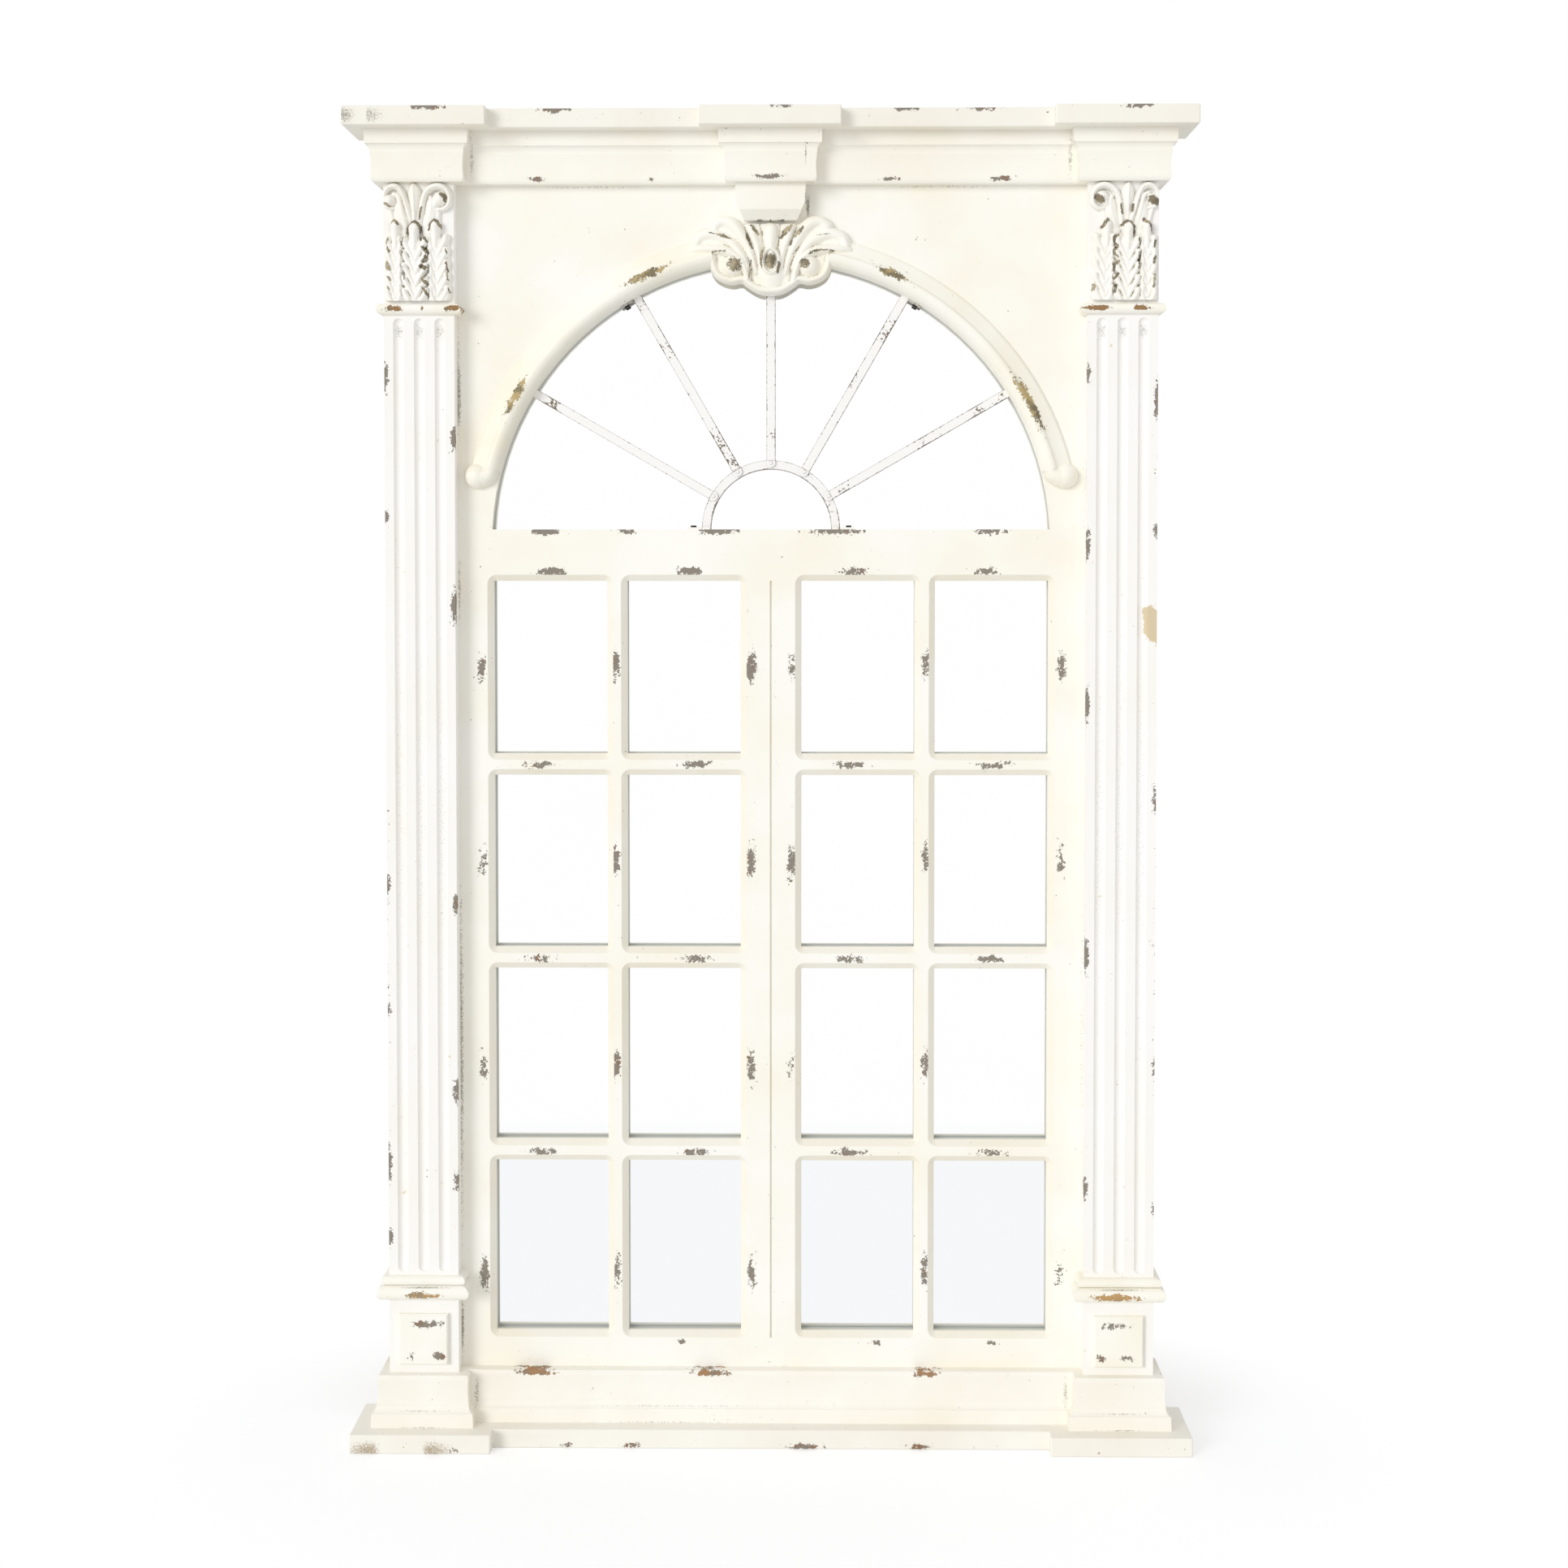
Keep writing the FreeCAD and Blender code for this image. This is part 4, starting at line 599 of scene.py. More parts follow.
def carve(name, strokes, middle, side, face, low, high, pitch, soft=0.7):
    """A carving as a closed mesh on the plane y = face, in mm, within x and z of low and high.

    Strokes are drawn about x = middle: "raise" and the flat-topped "plate" build it up, "over" lies
    on top, "add" and "cut" swell and groove it, and "worn" says where its paint is rubbed.
    """
    margin = 3
    x = np.arange(low[0] - margin, high[0] + margin, pitch)
    z = np.arange(low[1] - margin, high[1] + margin, pitch)
    layers = {}
    for layer in ("raise", "plate", "add", "cut", "worn"):
        layers[layer] = np.zeros((len(z), len(x)))
        for stroke in strokes.get(layer, []):
            drawn = [(middle + side * p[0], *p[1:]) for p in stroke]
            press(layers[layer], x, z, drawn, {"plate": 0.35, "worn": 2.0}.get(layer, 1.0))
    height = np.maximum(layers["raise"], layers["plate"])
    if "over" in strokes:
        on_top = np.zeros_like(height)
        for stroke in strokes["over"]:
            press(on_top, x, z, [(middle + side * p[0], *p[1:]) for p in stroke])
        height = np.where(on_top > 1.0, on_top + 2.0, height)
    height = height + layers["add"] * (height > 0) - layers["cut"]
    height = blurred(np.clip(height, 0, None), soft)
    inside_x = (x >= low[0]) & (x <= high[0])
    inside_z = (z >= low[1]) & (z <= high[1])
    least = 0.5
    solid = (height > least) & inside_x[None, :] & inside_z[:, None]
    height = np.clip(height, 0, face - strokes["front"]) * solid
    # Darker where the carving is lower than what is 2.2 mm round it, but not on its outline.
    hollow = np.clip((blurred(height, 2.2 / pitch) - height) / 2.5, 0, 1)
    hollow *= np.clip((height - 1.5) / 4, 0, 1)
    cells = solid[:-1, :-1] & solid[1:, :-1] & solid[:-1, 1:] & solid[1:, 1:]
    number = np.full(solid.shape, -1)
    used = np.zeros(solid.shape, bool)
    for up, right in ((0, 0), (1, 0), (0, 1), (1, 1)):
        used[up : up + cells.shape[0], right : right + cells.shape[1]] |= cells
    count = int(used.sum())
    number[used] = np.arange(count)
    rows, columns = np.nonzero(used)
    front = np.column_stack([x[columns], face - height[used], z[rows]])
    back = np.column_stack([x[columns], np.full(count, face), z[rows]])
    i, j = np.nonzero(cells)
    quads = np.column_stack(
        [number[i, j], number[i, j + 1], number[i + 1, j + 1], number[i + 1, j]]
    )
    edges = np.concatenate([quads[:, [k, (k + 1) % 4]] for k in range(4)])
    known = set(map(tuple, edges))
    rim = np.array([edge for edge in map(tuple, edges) if (edge[1], edge[0]) not in known])
    walls = np.column_stack([rim[:, 0], rim[:, 0] + count, rim[:, 1] + count, rim[:, 1]])
    faces = np.vstack([quads, quads[:, ::-1] + count, walls])
    # The outline is cut along the grid's steps, so its points are drawn towards their neighbours.
    for step in range(4):
        total = np.zeros((count, 2))
        neighbours = np.zeros(count)
        for here, there in ((0, 1), (1, 0)):
            np.add.at(total, rim[:, here], front[rim[:, there]][:, [0, 2]])
            np.add.at(neighbours, rim[:, here], 1)
        edge = neighbours > 0
        eased = 0.5 * front[edge][:, [0, 2]] + 0.5 * total[edge] / neighbours[edge, None]
        front[edge, 0] = eased[:, 0]
        front[edge, 2] = eased[:, 1]
    back[:, 0] = front[:, 0]
    back[:, 2] = front[:, 2]
    mesh = bpy.data.meshes.new(name)
    mesh.from_pydata((np.vstack([front, back]) / 1000).tolist(), [], faces.tolist())
    mesh.update()
    for label, values in (("worn", layers["worn"][used]), ("hollow", hollow[used])):
        attribute = mesh.attributes.new(label, "FLOAT", "POINT")
        attribute.data.foreach_set("value", np.concatenate([values, values * 0]))
    mesh.polygons.foreach_set("use_smooth", [True] * len(mesh.polygons))
    piece = bpy.data.objects.new(name, mesh)
    bpy.context.scene.collection.objects.link(piece)
    return piece


def carving_paint(name, warmth, **paint):
    """The same paint on a carving, worn where its strokes say and darker in its hollows."""
    finish, tree, place, *_ = new_finish(name)
    worn = add(tree, "ShaderNodeAttribute", {"attribute_name": "worn"}).outputs["Fac"]
    worn = add(tree, "ShaderNodeMath", {"operation": "MULTIPLY", 1: 0.68}, {0: worn})
    hollow = add(tree, "ShaderNodeAttribute", {"attribute_name": "hollow"}).outputs["Fac"]
    hollow = add(tree, "ShaderNodeMath", {"operation": "MULTIPLY", 1: 0.75}, {0: hollow})
    under = ("857B66", "B8AC90")
    old_paint(tree, place, worn, hollow, warmth, under=under, fine=True, **paint)
    return finish


def put_on(piece, finish, *replaced):
    """Finishes a piece, fixes it to the body and hides the nodes it stands for."""
    piece.data.materials.clear()
    piece.data.materials.append(finish)
    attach(piece, "root")
    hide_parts(*replaced)


def join_meshes(name, *pieces):
    """One mesh object out of several."""
    with bpy.context.temp_override(
        active_object=pieces[0], selected_editable_objects=list(pieces)
    ):
        bpy.ops.object.join()
    pieces[0].name = name
    pieces[0].data.name = name
    return pieces[0]


panel_face = 17.5
arch_middle = 1244.0
# Geometry Nodes lay a flat grid along the arch: its length turns round it, its width takes the
# section.
sweep = bpy.data.node_groups.new("roll_and_band_round_an_arch", "GeometryNodeTree")
for label, value in (
    ("Arch Centre Height", 1.244),
    ("Inner Radius", 0.385),
    ("Width", 0.041),
    ("Roll Height", 0.0195),
    ("Face", 0.0175),
    ("From Degrees", 11.5),
    ("To Degrees", 75.5),
    ("Side", 1.0),
):
    socket = sweep.interface.new_socket(label, in_out="INPUT", socket_type="NodeSocketFloat")
    socket.default_value = value
sweep.interface.new_socket("Mesh", in_out="OUTPUT", socket_type="NodeSocketGeometry")
given = sweep.nodes.new("NodeGroupInput").outputs
grid = add(
    sweep, "GeometryNodeMeshGrid", {"Size X": 1.0, "Size Y": 1.0, "Vertices X": 180, "Vertices Y": 40}
)
at = add(sweep, "GeometryNodeInputPosition")
at = add(sweep, "ShaderNodeSeparateXYZ", {}, {0: at})
along = add(sweep, "ShaderNodeMath", {"operation": "ADD", 1: 0.5}, {0: at.outputs[0]})
across = add(sweep, "ShaderNodeMath", {"operation": "ADD", 1: 0.5}, {0: at.outputs[1]})
# The section, from the opening's edge outwards: a steep lip, the roll, a step, the flat band.
section = add(sweep, "ShaderNodeFloatCurve", {}, {"Value": across})
line = section.mapping.curves[0]
line.points[0].location = (0.0, 0.0)
line.points[1].location = (1.0, 0.0)
for share, height in (
    (0.015, 0.30),
    (0.12, 0.74),
    (0.27, 0.97),
    (0.35, 1.0),
    (0.44, 0.93),
    (0.49, 0.70),
    (0.53, 0.65),
    (0.75, 0.44),
    (0.955, 0.26),
    (0.985, 0.16),
):
    line.points.new(share, height)
section.mapping.update()
degrees = add(
    sweep, "ShaderNodeMapRange", {}, {0: along, 3: given["From Degrees"], 4: given["To Degrees"]}
)
angle = add(sweep, "ShaderNodeMath", {"operation": "RADIANS"}, {0: degrees})
angle = add(sweep, "ShaderNodeMath", {"operation": "MULTIPLY"}, {0: angle, 1: given["Side"]})
reach = add(
    sweep,
    "ShaderNodeMath",
    {"operation": "MULTIPLY_ADD"},
    {0: across, 1: given["Width"], 2: given["Inner Radius"]},
)
sine = add(sweep, "ShaderNodeMath", {"operation": "SINE"}, {0: angle})
cosine = add(sweep, "ShaderNodeMath", {"operation": "COSINE"}, {0: angle})
new_x = add(sweep, "ShaderNodeMath", {"operation": "MULTIPLY"}, {0: sine, 1: reach})
new_z = add(
    sweep,
    "ShaderNodeMath",
    {"operation": "MULTIPLY_ADD"},
    {0: cosine, 1: reach, 2: given["Arch Centre Height"]},
)
rise = add(
    sweep, "ShaderNodeMath", {"operation": "MULTIPLY"}, {0: section, 1: given["Roll Height"]}
)
new_y = add(sweep, "ShaderNodeMath", {"operation": "SUBTRACT"}, {0: given["Face"], 1: rise})
bent = add(sweep, "ShaderNodeCombineXYZ", {}, {0: new_x, 1: new_y, 2: new_z})
moulded = add(sweep, "GeometryNodeSetPosition", {}, {"Geometry": grid, "Position": bent})
moulded = add(sweep, "GeometryNodeSetShadeSmooth", {}, {"Geometry": moulded})
moulded = add(sweep, "GeometryNodeRealizeInstances", {}, {"Geometry": moulded})
moulded = add(sweep, "GeometryNodeSetMaterial", {}, {"Geometry": moulded})
out = sweep.nodes.new("NodeGroupOutput")
sweep.links.new(moulded.outputs[0], out.inputs[0])


def grown(name, tree, finish, values={}):
    """The plain mesh that a tree of nodes makes, with its inputs by name."""
    for node in tree.nodes:
        if node.bl_idname == "GeometryNodeSetMaterial":
            node.inputs["Material"].default_value = finish
    piece = bpy.data.objects.new(name, bpy.data.meshes.new(name))
    bpy.context.scene.collection.objects.link(piece)
    modifier = piece.modifiers.new("grow", "NODES")
    modifier.node_group = tree
    for socket in tree.interface.items_tree:
        if socket.in_out == "INPUT" and socket.name in values:
            modifier[socket.identifier] = values[socket.name]
    bpy.context.view_layer.update()
    evaluated = piece.evaluated_get(bpy.context.evaluated_depsgraph_get())
    mesh = bpy.data.meshes.new_from_object(evaluated)
    piece.modifiers.clear()
    piece.data = mesh
    mesh.name = name
    return piece


finish, tree, place, x, y, z = new_finish("rubbed_white_paint_on_arch")
# The chips are placed by their angle round the arch, in degrees off the crown, and the radius.
drop = add(tree, "ShaderNodeMath", {"operation": "SUBTRACT", 1: arch_middle / 1000}, {0: z})
turn = add(tree, "ShaderNodeMath", {"operation": "ARCTAN2"}, {0: x, 1: drop})
turn = add(tree, "ShaderNodeMath", {"operation": "DEGREES"}, {0: turn})
turn = add(tree, "ShaderNodeMath", {"operation": "DIVIDE", 1: 1000.0}, {0: turn})
flat_place = add(tree, "ShaderNodeCombineXYZ", {}, {0: x, 1: drop})
radius = add(tree, "ShaderNodeVectorMath", {"operation": "LENGTH"}, {0: flat_place})
roll_spots = [
    (-60, 7.6, 0.85), (-25, 8.5, 0.85), (-10, 2.6, 0.7), (10.5, 3.2, 0.75), (24.5, 6.5, 0.8),
    (61.5, 11, 0.9),
]
rub = rubbed(tree, turn, roll_spots, radius.outputs["Value"], 403, 12)
old_paint(tree, place, rub, warmth=0.6, under=("82785F", "BFAA7B"))
for label, side in (("left", -1), ("right", 1)):
    run = grown(f"arch_run_{label}", sweep, finish, {"Side": float(side)})
    if side > 0:
        run.data.flip_normals()
    scroll = {
        "front": -2.9,
        "raise": [
            [
                (381, 1357, 10.5, 18.8), (384.5, 1345, 11.5, 19), (389, 1337.5, 13, 19.2),
                (396, 1335, 15, 19.4),
            ],
            [(404, 1335.2, 17.9, 20.2), (404.2, 1335.2, 17.9, 20.2)],
        ],
    }
    left, right = sorted((side * 360, side * 422.5))
    low, high = (left, 1316.7), (right, 1372)
    curl = carve(f"arch_scroll_{label}", scroll, 0, side, panel_face, low, high, 0.9)
    whole = join_meshes(f"arch_roll_{label}", run, curl)
    put_on(whole, finish, f"arch_moulding_{label}")


# ---------------------------------------------------------------------------------------------
# Shell. A carved shell over the crown of the arch: seven petals behind an oval boss, two folds on
# each side that end in a scroll with a round eye, and a bowl below with a raised rim. One carved
# piece of wood, glued over the joint of the arch's halves; darker in its hollows, rubbed to olive.
# ---------------------------------------------------------------------------------------------
# Strokes of the right half, as (x, height over the floor, half width, relief) in mm.
fold_paths = {
    "raise": [
        # The broad petal in the middle, over the boss.
        [(0, 1669, 13.5, 20), (0, 1660, 12.5, 20.5), (0, 1648, 9.5, 20.5), (0, 1638, 7.5, 20)],
        # The petal beside it, which narrows and runs down past the boss.
        [
            (-27, 1672, 9, 17.5), (-23.5, 1661, 9, 18.5), (-18.5, 1648, 7.5, 18.5),
            (-15.5, 1634, 5.5, 18), (-14, 1618, 4.5, 16),
        ],
        # The upper side fold.
        [
            (-76, 1677, 9.5, 15), (-67, 1683, 9.5, 16), (-55, 1680, 10.5, 17.5),
            (-43, 1668, 10, 18.5), (-32, 1649, 8.5, 18.5), (-24, 1629, 6, 18), (-20, 1612, 4, 16),
        ],
        # The lower side fold.
        [
            (-103, 1650, 7.5, 14.5), (-97, 1661, 9.5, 15.5), (-83, 1665.5, 9.5, 17),
            (-68, 1661.5, 9, 18), (-53, 1653, 8.5, 18.5), (-40, 1637, 7.5, 19),
            (-31.5, 1620, 5.5, 18),
        ],
        # The scroll's band, from the arch's roll over the eye and down beside the bowl.
        [
            (-112, 1643, 5, 10), (-98, 1645, 7.5, 17), (-80, 1645, 8, 19), (-62, 1642.5, 8, 20.5),
            (-43, 1632, 7, 21), (-34.5, 1616, 6, 20), (-32, 1604, 5.5, 18),
        ],
        # The eye, a smooth dome.
        [(-53, 1621.5, 17, 22.5), (-52.8, 1621.5, 17, 22.5)],
        # The rim inside the lower outline.
        [
            (-79.5, 1635, 5, 19), (-78, 1622, 5.5, 16.5), (-70.5, 1609, 5.5, 15.5),
            (-54, 1602.5, 5.5, 15.5), (-38.5, 1604.5, 5.5, 16), (-29.5, 1598.5, 5.5, 16.5),
            (-17, 1591, 5.8, 17), (-7, 1588.5, 6, 17.5), (7, 1588.5, 6, 17.5),
        ],
    ],
    "plate": [
        [(-54, 1622, 24, 11.5), (-53, 1622, 24, 11.5)],
        [(0, 1613, 29, 11), (0, 1642, 30, 12)],
        [(-62, 1662, 25, 12), (-40, 1654, 26, 12)],
        [(-87, 1652, 19, 11.5), (-70, 1650, 20, 11.5)],
        [(-28, 1664, 17, 12), (0, 1664, 17, 12)],
    ],
    "cut": [
        [(-14, 1682, 1.8, 4), (-12, 1664, 1.6, 3.5), (-9.5, 1646, 1.4, 2.5)],
        [(-38, 1682, 1.8, 4), (-33, 1668, 1.6, 3.5), (-26, 1650, 1.4, 2.5)],
    ],
}
boss_turns = np.linspace(0, 2 * math.pi, 17)
boss_ring = [(11 * math.cos(t), 1628 + 16.5 * math.sin(t), 3.6, 24) for t in boss_turns]
both_sides = {
    layer: [
        [(side * p[0], *p[1:]) for p in stroke] for stroke in strokes for side in (1, -1)
    ]
    for layer, strokes in fold_paths.items()
}
both_sides["raise"] += [
    boss_ring,
    [(0, 1624, 7, 24.5), (0, 1632, 7, 24.5)],
    # The bowl.
    [(0, 1608, 21, 17.5), (0, 1613, 23, 18.5), (0, 1619, 20, 18)],
]
both_sides["front"] = -7.5
both_sides["worn"] = [
    [(-50, 1623.5, 13, 1.3), (-49, 1623.5, 13, 1.3)],
    [(46, 1624.5, 9, 1.25), (47.5, 1624.5, 9, 1.25)],
    [(0, 1623.5, 8.5, 1.3), (0, 1631, 8.5, 1.3)],
    [(-10, 1642, 3.0, 1.1), (-12.5, 1634, 3.0, 1.15), (-12.5, 1620, 2.4, 1.0)],
    [(12, 1625, 3, 1.0), (9.5, 1613, 3.0, 1.0)],
    [(-27, 1677, 2.4, 1.0), (-22, 1671.5, 4.0, 1.2), (-17, 1665, 2.8, 1.0)],
    [(-12, 1669, 1.8, 1.0), (-11, 1665, 2.2, 1.0)],
    [(28, 1676, 3.6, 1.1), (21, 1669, 6, 1.25), (14.5, 1661, 3.6, 1.1)],
    [(44, 1674, 3.0, 1.1), (39, 1667.5, 4.8, 1.2), (33, 1661, 3, 1.0)],
    [(29, 1656, 2.8, 1.0), (27.5, 1651, 2.6, 1.0)],
    [(-33, 1665, 2.6, 1.0), (-29.5, 1656, 3.4, 1.15), (-25, 1646, 2.2, 1.0)],
    [
        (-84, 1667, 1.8, 0.9), (-75, 1664.5, 1.6, 0.8), (-66, 1663, 4.2, 1.1),
        (-54, 1658.5, 2.2, 0.85),
    ],
    [(63, 1663, 1.8, 0.8), (71, 1664, 1.2, 0.6), (80, 1665, 1.8, 0.85)],
    [(-79, 1641, 2.4, 0.85), (-70, 1641.5, 1.6, 0.8), (-62, 1641.5, 2.6, 0.9)],
    [(52, 1637, 2.4, 0.85), (60, 1641, 3.2, 0.95), (74, 1643, 1.6, 0.85), (86, 1642, 2.4, 0.95)],
    [(-27, 1629, 2.2, 1.0), (-29, 1618, 1.4, 0.8), (-29.5, 1606, 2.0, 0.9)],
    [(39, 1648, 1.6, 0.85), (30.5, 1637.5, 1.6, 0.85)],
]
shell = carve("carved_shell", both_sides, 0, 1, panel_face, (-111, 1575), (111, 1690), 0.75, 0.9)
put_on(shell, carving_paint("rubbed_white_paint_on_shell", 0.5), "shell_cartouche")


# ---------------------------------------------------------------------------------------------
# Capitals. One carved block on the head of each pilaster: three leaves side by side with five
# lobes on each edge, two volutes that spring from between them, and a pointed bud. The right
# one mirrors the left. Rubbed through on the leaf tips, lobes and volute eyes.
# ---------------------------------------------------------------------------------------------
lobes = 5
lobe_pitch = 17.2
leaf_foot = 1572


def leaf(foot, head, top, left, right):
    """The strokes of one leaf: x at its foot and head, its top, and how far its edges reach."""
    half = (left + right) / 2 - 5
    aside = (right - left) / 2
    # The leaf's body, a low dome that the lobes spread over.
    strokes = [
        [
            (foot + aside, 1570, half - 1, 7.0),
            ((foot + head) / 2 + aside, 1622, half, 8.4),
            (head + aside * 0.5, top - 32, half - 1, 9.4),
        ]
    ]
    for step in range(lobes):
        tip = top - 22 - lobe_pitch * step
        stem = foot + (head - foot) * (tip - leaf_foot) / (top - leaf_foot)
        for side, reach in ((-1, left), (1, right)):
            strokes.append(
                [
                    (stem + side * 1.0, tip - 30, 2.8, 9.2),
                    (stem + side * reach * 0.34, tip - 19, 4.0, 10.2),
                    (stem + side * reach * 0.64, tip - 8.5, 5.0, 11.2),
                    (stem + side * (reach - 5.2), tip - 2.5, 5.5, 12.2),
                ]
            )
    for side, reach in ((-1, left), (1, right)):
        strokes.append(
            [
                (foot + side * reach * 0.3, 1571, 4.5, 8.0),
                (foot + side * reach * 0.6, 1576, 5.5, 9.0),
                (foot + side * (reach - 6), 1580, 5.5, 9.0),
            ]
        )
    # The tip rolls forward over itself.
    strokes.append(
        [
            (head, top - 36, 5.0, 11.0),
            (head, top - 22, 7.0, 12.4),
            (head, top - 10, 8.2, 15.2),
            (head, top - 8.4, 8.4, 15.8),
        ]
    )
    return strokes


def veins(foot, head, top, left, right):
    """The thin grooves between the lobes of one leaf."""
    grooves = []
    for step in range(lobes):
        tip = top - 36 - lobe_pitch * step
        stem = foot + (head - foot) * (tip - leaf_foot) / (top - leaf_foot)
        for side, reach in ((-1, left), (1, right)):
            grooves.append(
                [
                    (stem + side * 2.4, tip - 20, 0.8, 0.8),
                    (stem + side * reach * 0.42, tip - 10, 1.1, 2.0),
                    (stem + side * (reach - 4), tip, 1.5, 3.0),
                ]
            )
    return grooves


# Each leaf: x at its foot and head, its top, and how far it reaches to the left and right. The
# strokes are drawn about the middle of the left pilaster.
left_leaf = (-32, -30.5, 1681, 14.5, 12)
right_leaf = (26.5, 23.5, 1683, 14, 19)
front_leaf = (-4, -5, 1679.5, 19, 20)
capital_strokes = {
    "front": -25.6,
    "raise": [
        # Left volute: outer band, inner band, eye, and the thin stem under it.
        [
            (-34, 1697.5, 2.6, 7), (-41, 1699, 3.0, 8.5), (-45.6, 1706, 3.2, 9),
            (-46, 1714, 3.4, 9.5), (-44, 1721, 3.8, 10.5), (-39.5, 1726, 4.2, 11.5),
            (-31.5, 1728, 4.6, 12.5), (-24, 1723, 4.6, 12), (-19, 1711.5, 4.4, 11),
            (-14.8, 1698, 4.2, 9.5), (-10.5, 1684, 3.8, 8), (-7.5, 1674, 3.2, 6),
        ],
        [
            (-33, 1717.5, 3.5, 8), (-27, 1713.5, 4.3, 9), (-24, 1703, 4.8, 8.5),
            (-21, 1688, 5, 7.5), (-17, 1674, 5, 6.5),
        ],
        [(-38.8, 1708.5, 8.6, 14), (-38.6, 1708.5, 8.6, 14)],
        [(-38.5, 1697, 3.2, 5), (-35, 1684, 3.4, 5), (-32, 1674, 3.4, 5)],
        # Right volute, the same the other way round and a little larger.
        [
            (2.2, 1676, 3.4, 6.5), (4.2, 1691, 4, 8.5), (6.2, 1706, 4.4, 10),
            (10.5, 1718, 4.8, 12), (18, 1725.5, 5.2, 13), (28.5, 1727.8, 5.2, 13.5),
            (38, 1723.5, 4.8, 12.5), (43, 1714, 4.4, 11.5), (42, 1704, 4.0, 10.5),
            (36, 1697.5, 3.6, 9.5), (28, 1696, 3.2, 8.5),
        ],
        # The broad stems under both, which come up from behind the leaves.
        [(-25, 1702, 8, 7.0), (-24, 1686, 9.5, 6.5), (-22, 1668, 10, 6.0)],
        [(19, 1704, 9.5, 7.5), (17, 1686, 11, 6.8), (16, 1668, 12, 6.2)],
        [
            (16.5, 1713.5, 3.4, 8.5), (18.8, 1706, 4.5, 8.5), (17.6, 1696, 5, 8),
            (15.2, 1685, 5, 7), (13, 1674, 5, 6.5),
        ],
        [
            (24, 1703, 6, 9.5), (28, 1709, 9, 13), (30, 1710.5, 10.5, 14.8),
            (30.2, 1710.5, 10.5, 14.8),
        ],
        [(27.5, 1697, 4.2, 5.5), (26.5, 1685, 4.4, 5.5), (25, 1674, 4.4, 5.5)],
        # The bud.
        [
            (-6.6, 1732, 1.2, 6), (-5.8, 1726, 6, 9), (-5, 1719, 9.5, 10.5), (-4.8, 1706, 7, 9.5),
            (-5, 1692, 4.5, 8), (-5.5, 1678, 3, 6.5),
        ],
        *leaf(*left_leaf),
        *leaf(*right_leaf),
    ],
    "add": [
        [(-6.6, 1730, 1, 1.0), (-5.4, 1716, 1.6, 1.8), (-5.2, 1694, 1.2, 1.2)],
    ],
    "plate": [
        [(-5, 1712, 7, 3.5), (-5, 1684, 9, 3.5)],
        [(-34, 1640, 11, 4), (-34, 1584, 11, 4)],
        [(30, 1645, 13, 4), (32, 1586, 13, 4)],
    ],
    "cut": [
        [
            (-27.5, 1725, 1.1, 2.5), (-22.5, 1714, 1.2, 3), (-19.5, 1702, 1.2, 3),
            (-15.5, 1687, 1.2, 2.5),
        ],
        [(8.5, 1690, 1.2, 2.5), (10.5, 1704, 1.2, 3), (14, 1714, 1.2, 3), (20, 1720.5, 1.1, 2.5)],
        *veins(*front_leaf),
    ],
}
front_strokes = leaf(*front_leaf)
pilaster_face = -9.5
left_worn = [
    [
        (-39.5, 1667, 2.6, 1.2), (-38.5, 1675, 2.6, 1.25), (-32, 1681.5, 3, 1.3),
        (-26, 1675, 2.2, 1.1),
    ],
    [
        (-14.5, 1664, 2.6, 1.1), (-12.5, 1673, 2.6, 1.2), (-5, 1679.5, 3, 1.25),
        (2.5, 1674, 2.8, 1.3), (4, 1665, 3, 1.25),
    ],
    [(15, 1669, 2.6, 1.2), (18, 1678, 3, 1.3), (24, 1682, 3, 1.3), (32, 1672, 3, 1.2)],
    [(3.5, 1661, 2.6, 1.2), (5, 1655, 3, 1.2)],
    [(9, 1658, 3.2, 1.15), (13, 1652, 2.2, 1.0)],
    [(6, 1645, 2.4, 1.0), (11, 1641, 4.2, 1.3), (15, 1636, 2.6, 1.0)],
    [(11, 1632, 3.6, 1.2), (7, 1625, 2.8, 1.1)],
    [(5, 1619, 4.6, 1.3), (10, 1617, 4.4, 1.2)],
    [(15, 1620, 2.2, 0.9), (15, 1610, 1.8, 0.85)],
    [(11, 1606, 3.2, 1.1), (7, 1601, 3.0, 1.1), (12, 1596, 3.6, 1.15)],
    [(5, 1591, 2.0, 0.95), (9, 1587, 3.6, 1.05), (13, 1581, 3.2, 1.0), (14, 1576, 2.0, 0.9)],
    [(-20, 1657, 3, 0.95), (-21.5, 1648, 2.2, 0.9)],
    [(-21, 1638, 3, 1.0), (-20.5, 1632, 2.0, 0.8)],
    [(-20, 1618, 2.2, 0.85), (-17, 1600, 2.0, 0.8)],
    [(-40, 1657, 1.8, 0.95), (-42, 1650, 2.4, 1.05)],
    [(-42, 1645, 2.6, 1.15), (-38.5, 1639, 2.8, 1.1)],
    [(-42, 1626, 2.8, 1.1), (-41, 1618, 4.4, 1.25), (-38, 1614, 3, 1.0)],
    [(-41, 1605, 2.4, 1.0), (-38, 1601, 2.4, 0.95)],
    [(-42, 1592, 2.2, 0.95), (-38, 1587, 2, 0.85)],
    [(38, 1642, 1.8, 0.8), (40, 1636, 1.6, 0.8)],
    [(39, 1625, 2.4, 0.9), (41, 1600, 2, 0.8)],
    [(42, 1588, 3, 1.0), (43, 1584, 2.4, 0.9)],
    [(-44.5, 1704, 2.8, 1.1), (-38, 1700.5, 2.6, 1.1)],
    [(32, 1717, 3.6, 1.2), (37, 1713, 4.6, 1.4), (37.5, 1707, 2.6, 1.1)],
    [(5.5, 1699, 2.2, 1.1), (3.5, 1692, 2.6, 1.15), (2.2, 1683, 2.2, 1.0)],
]
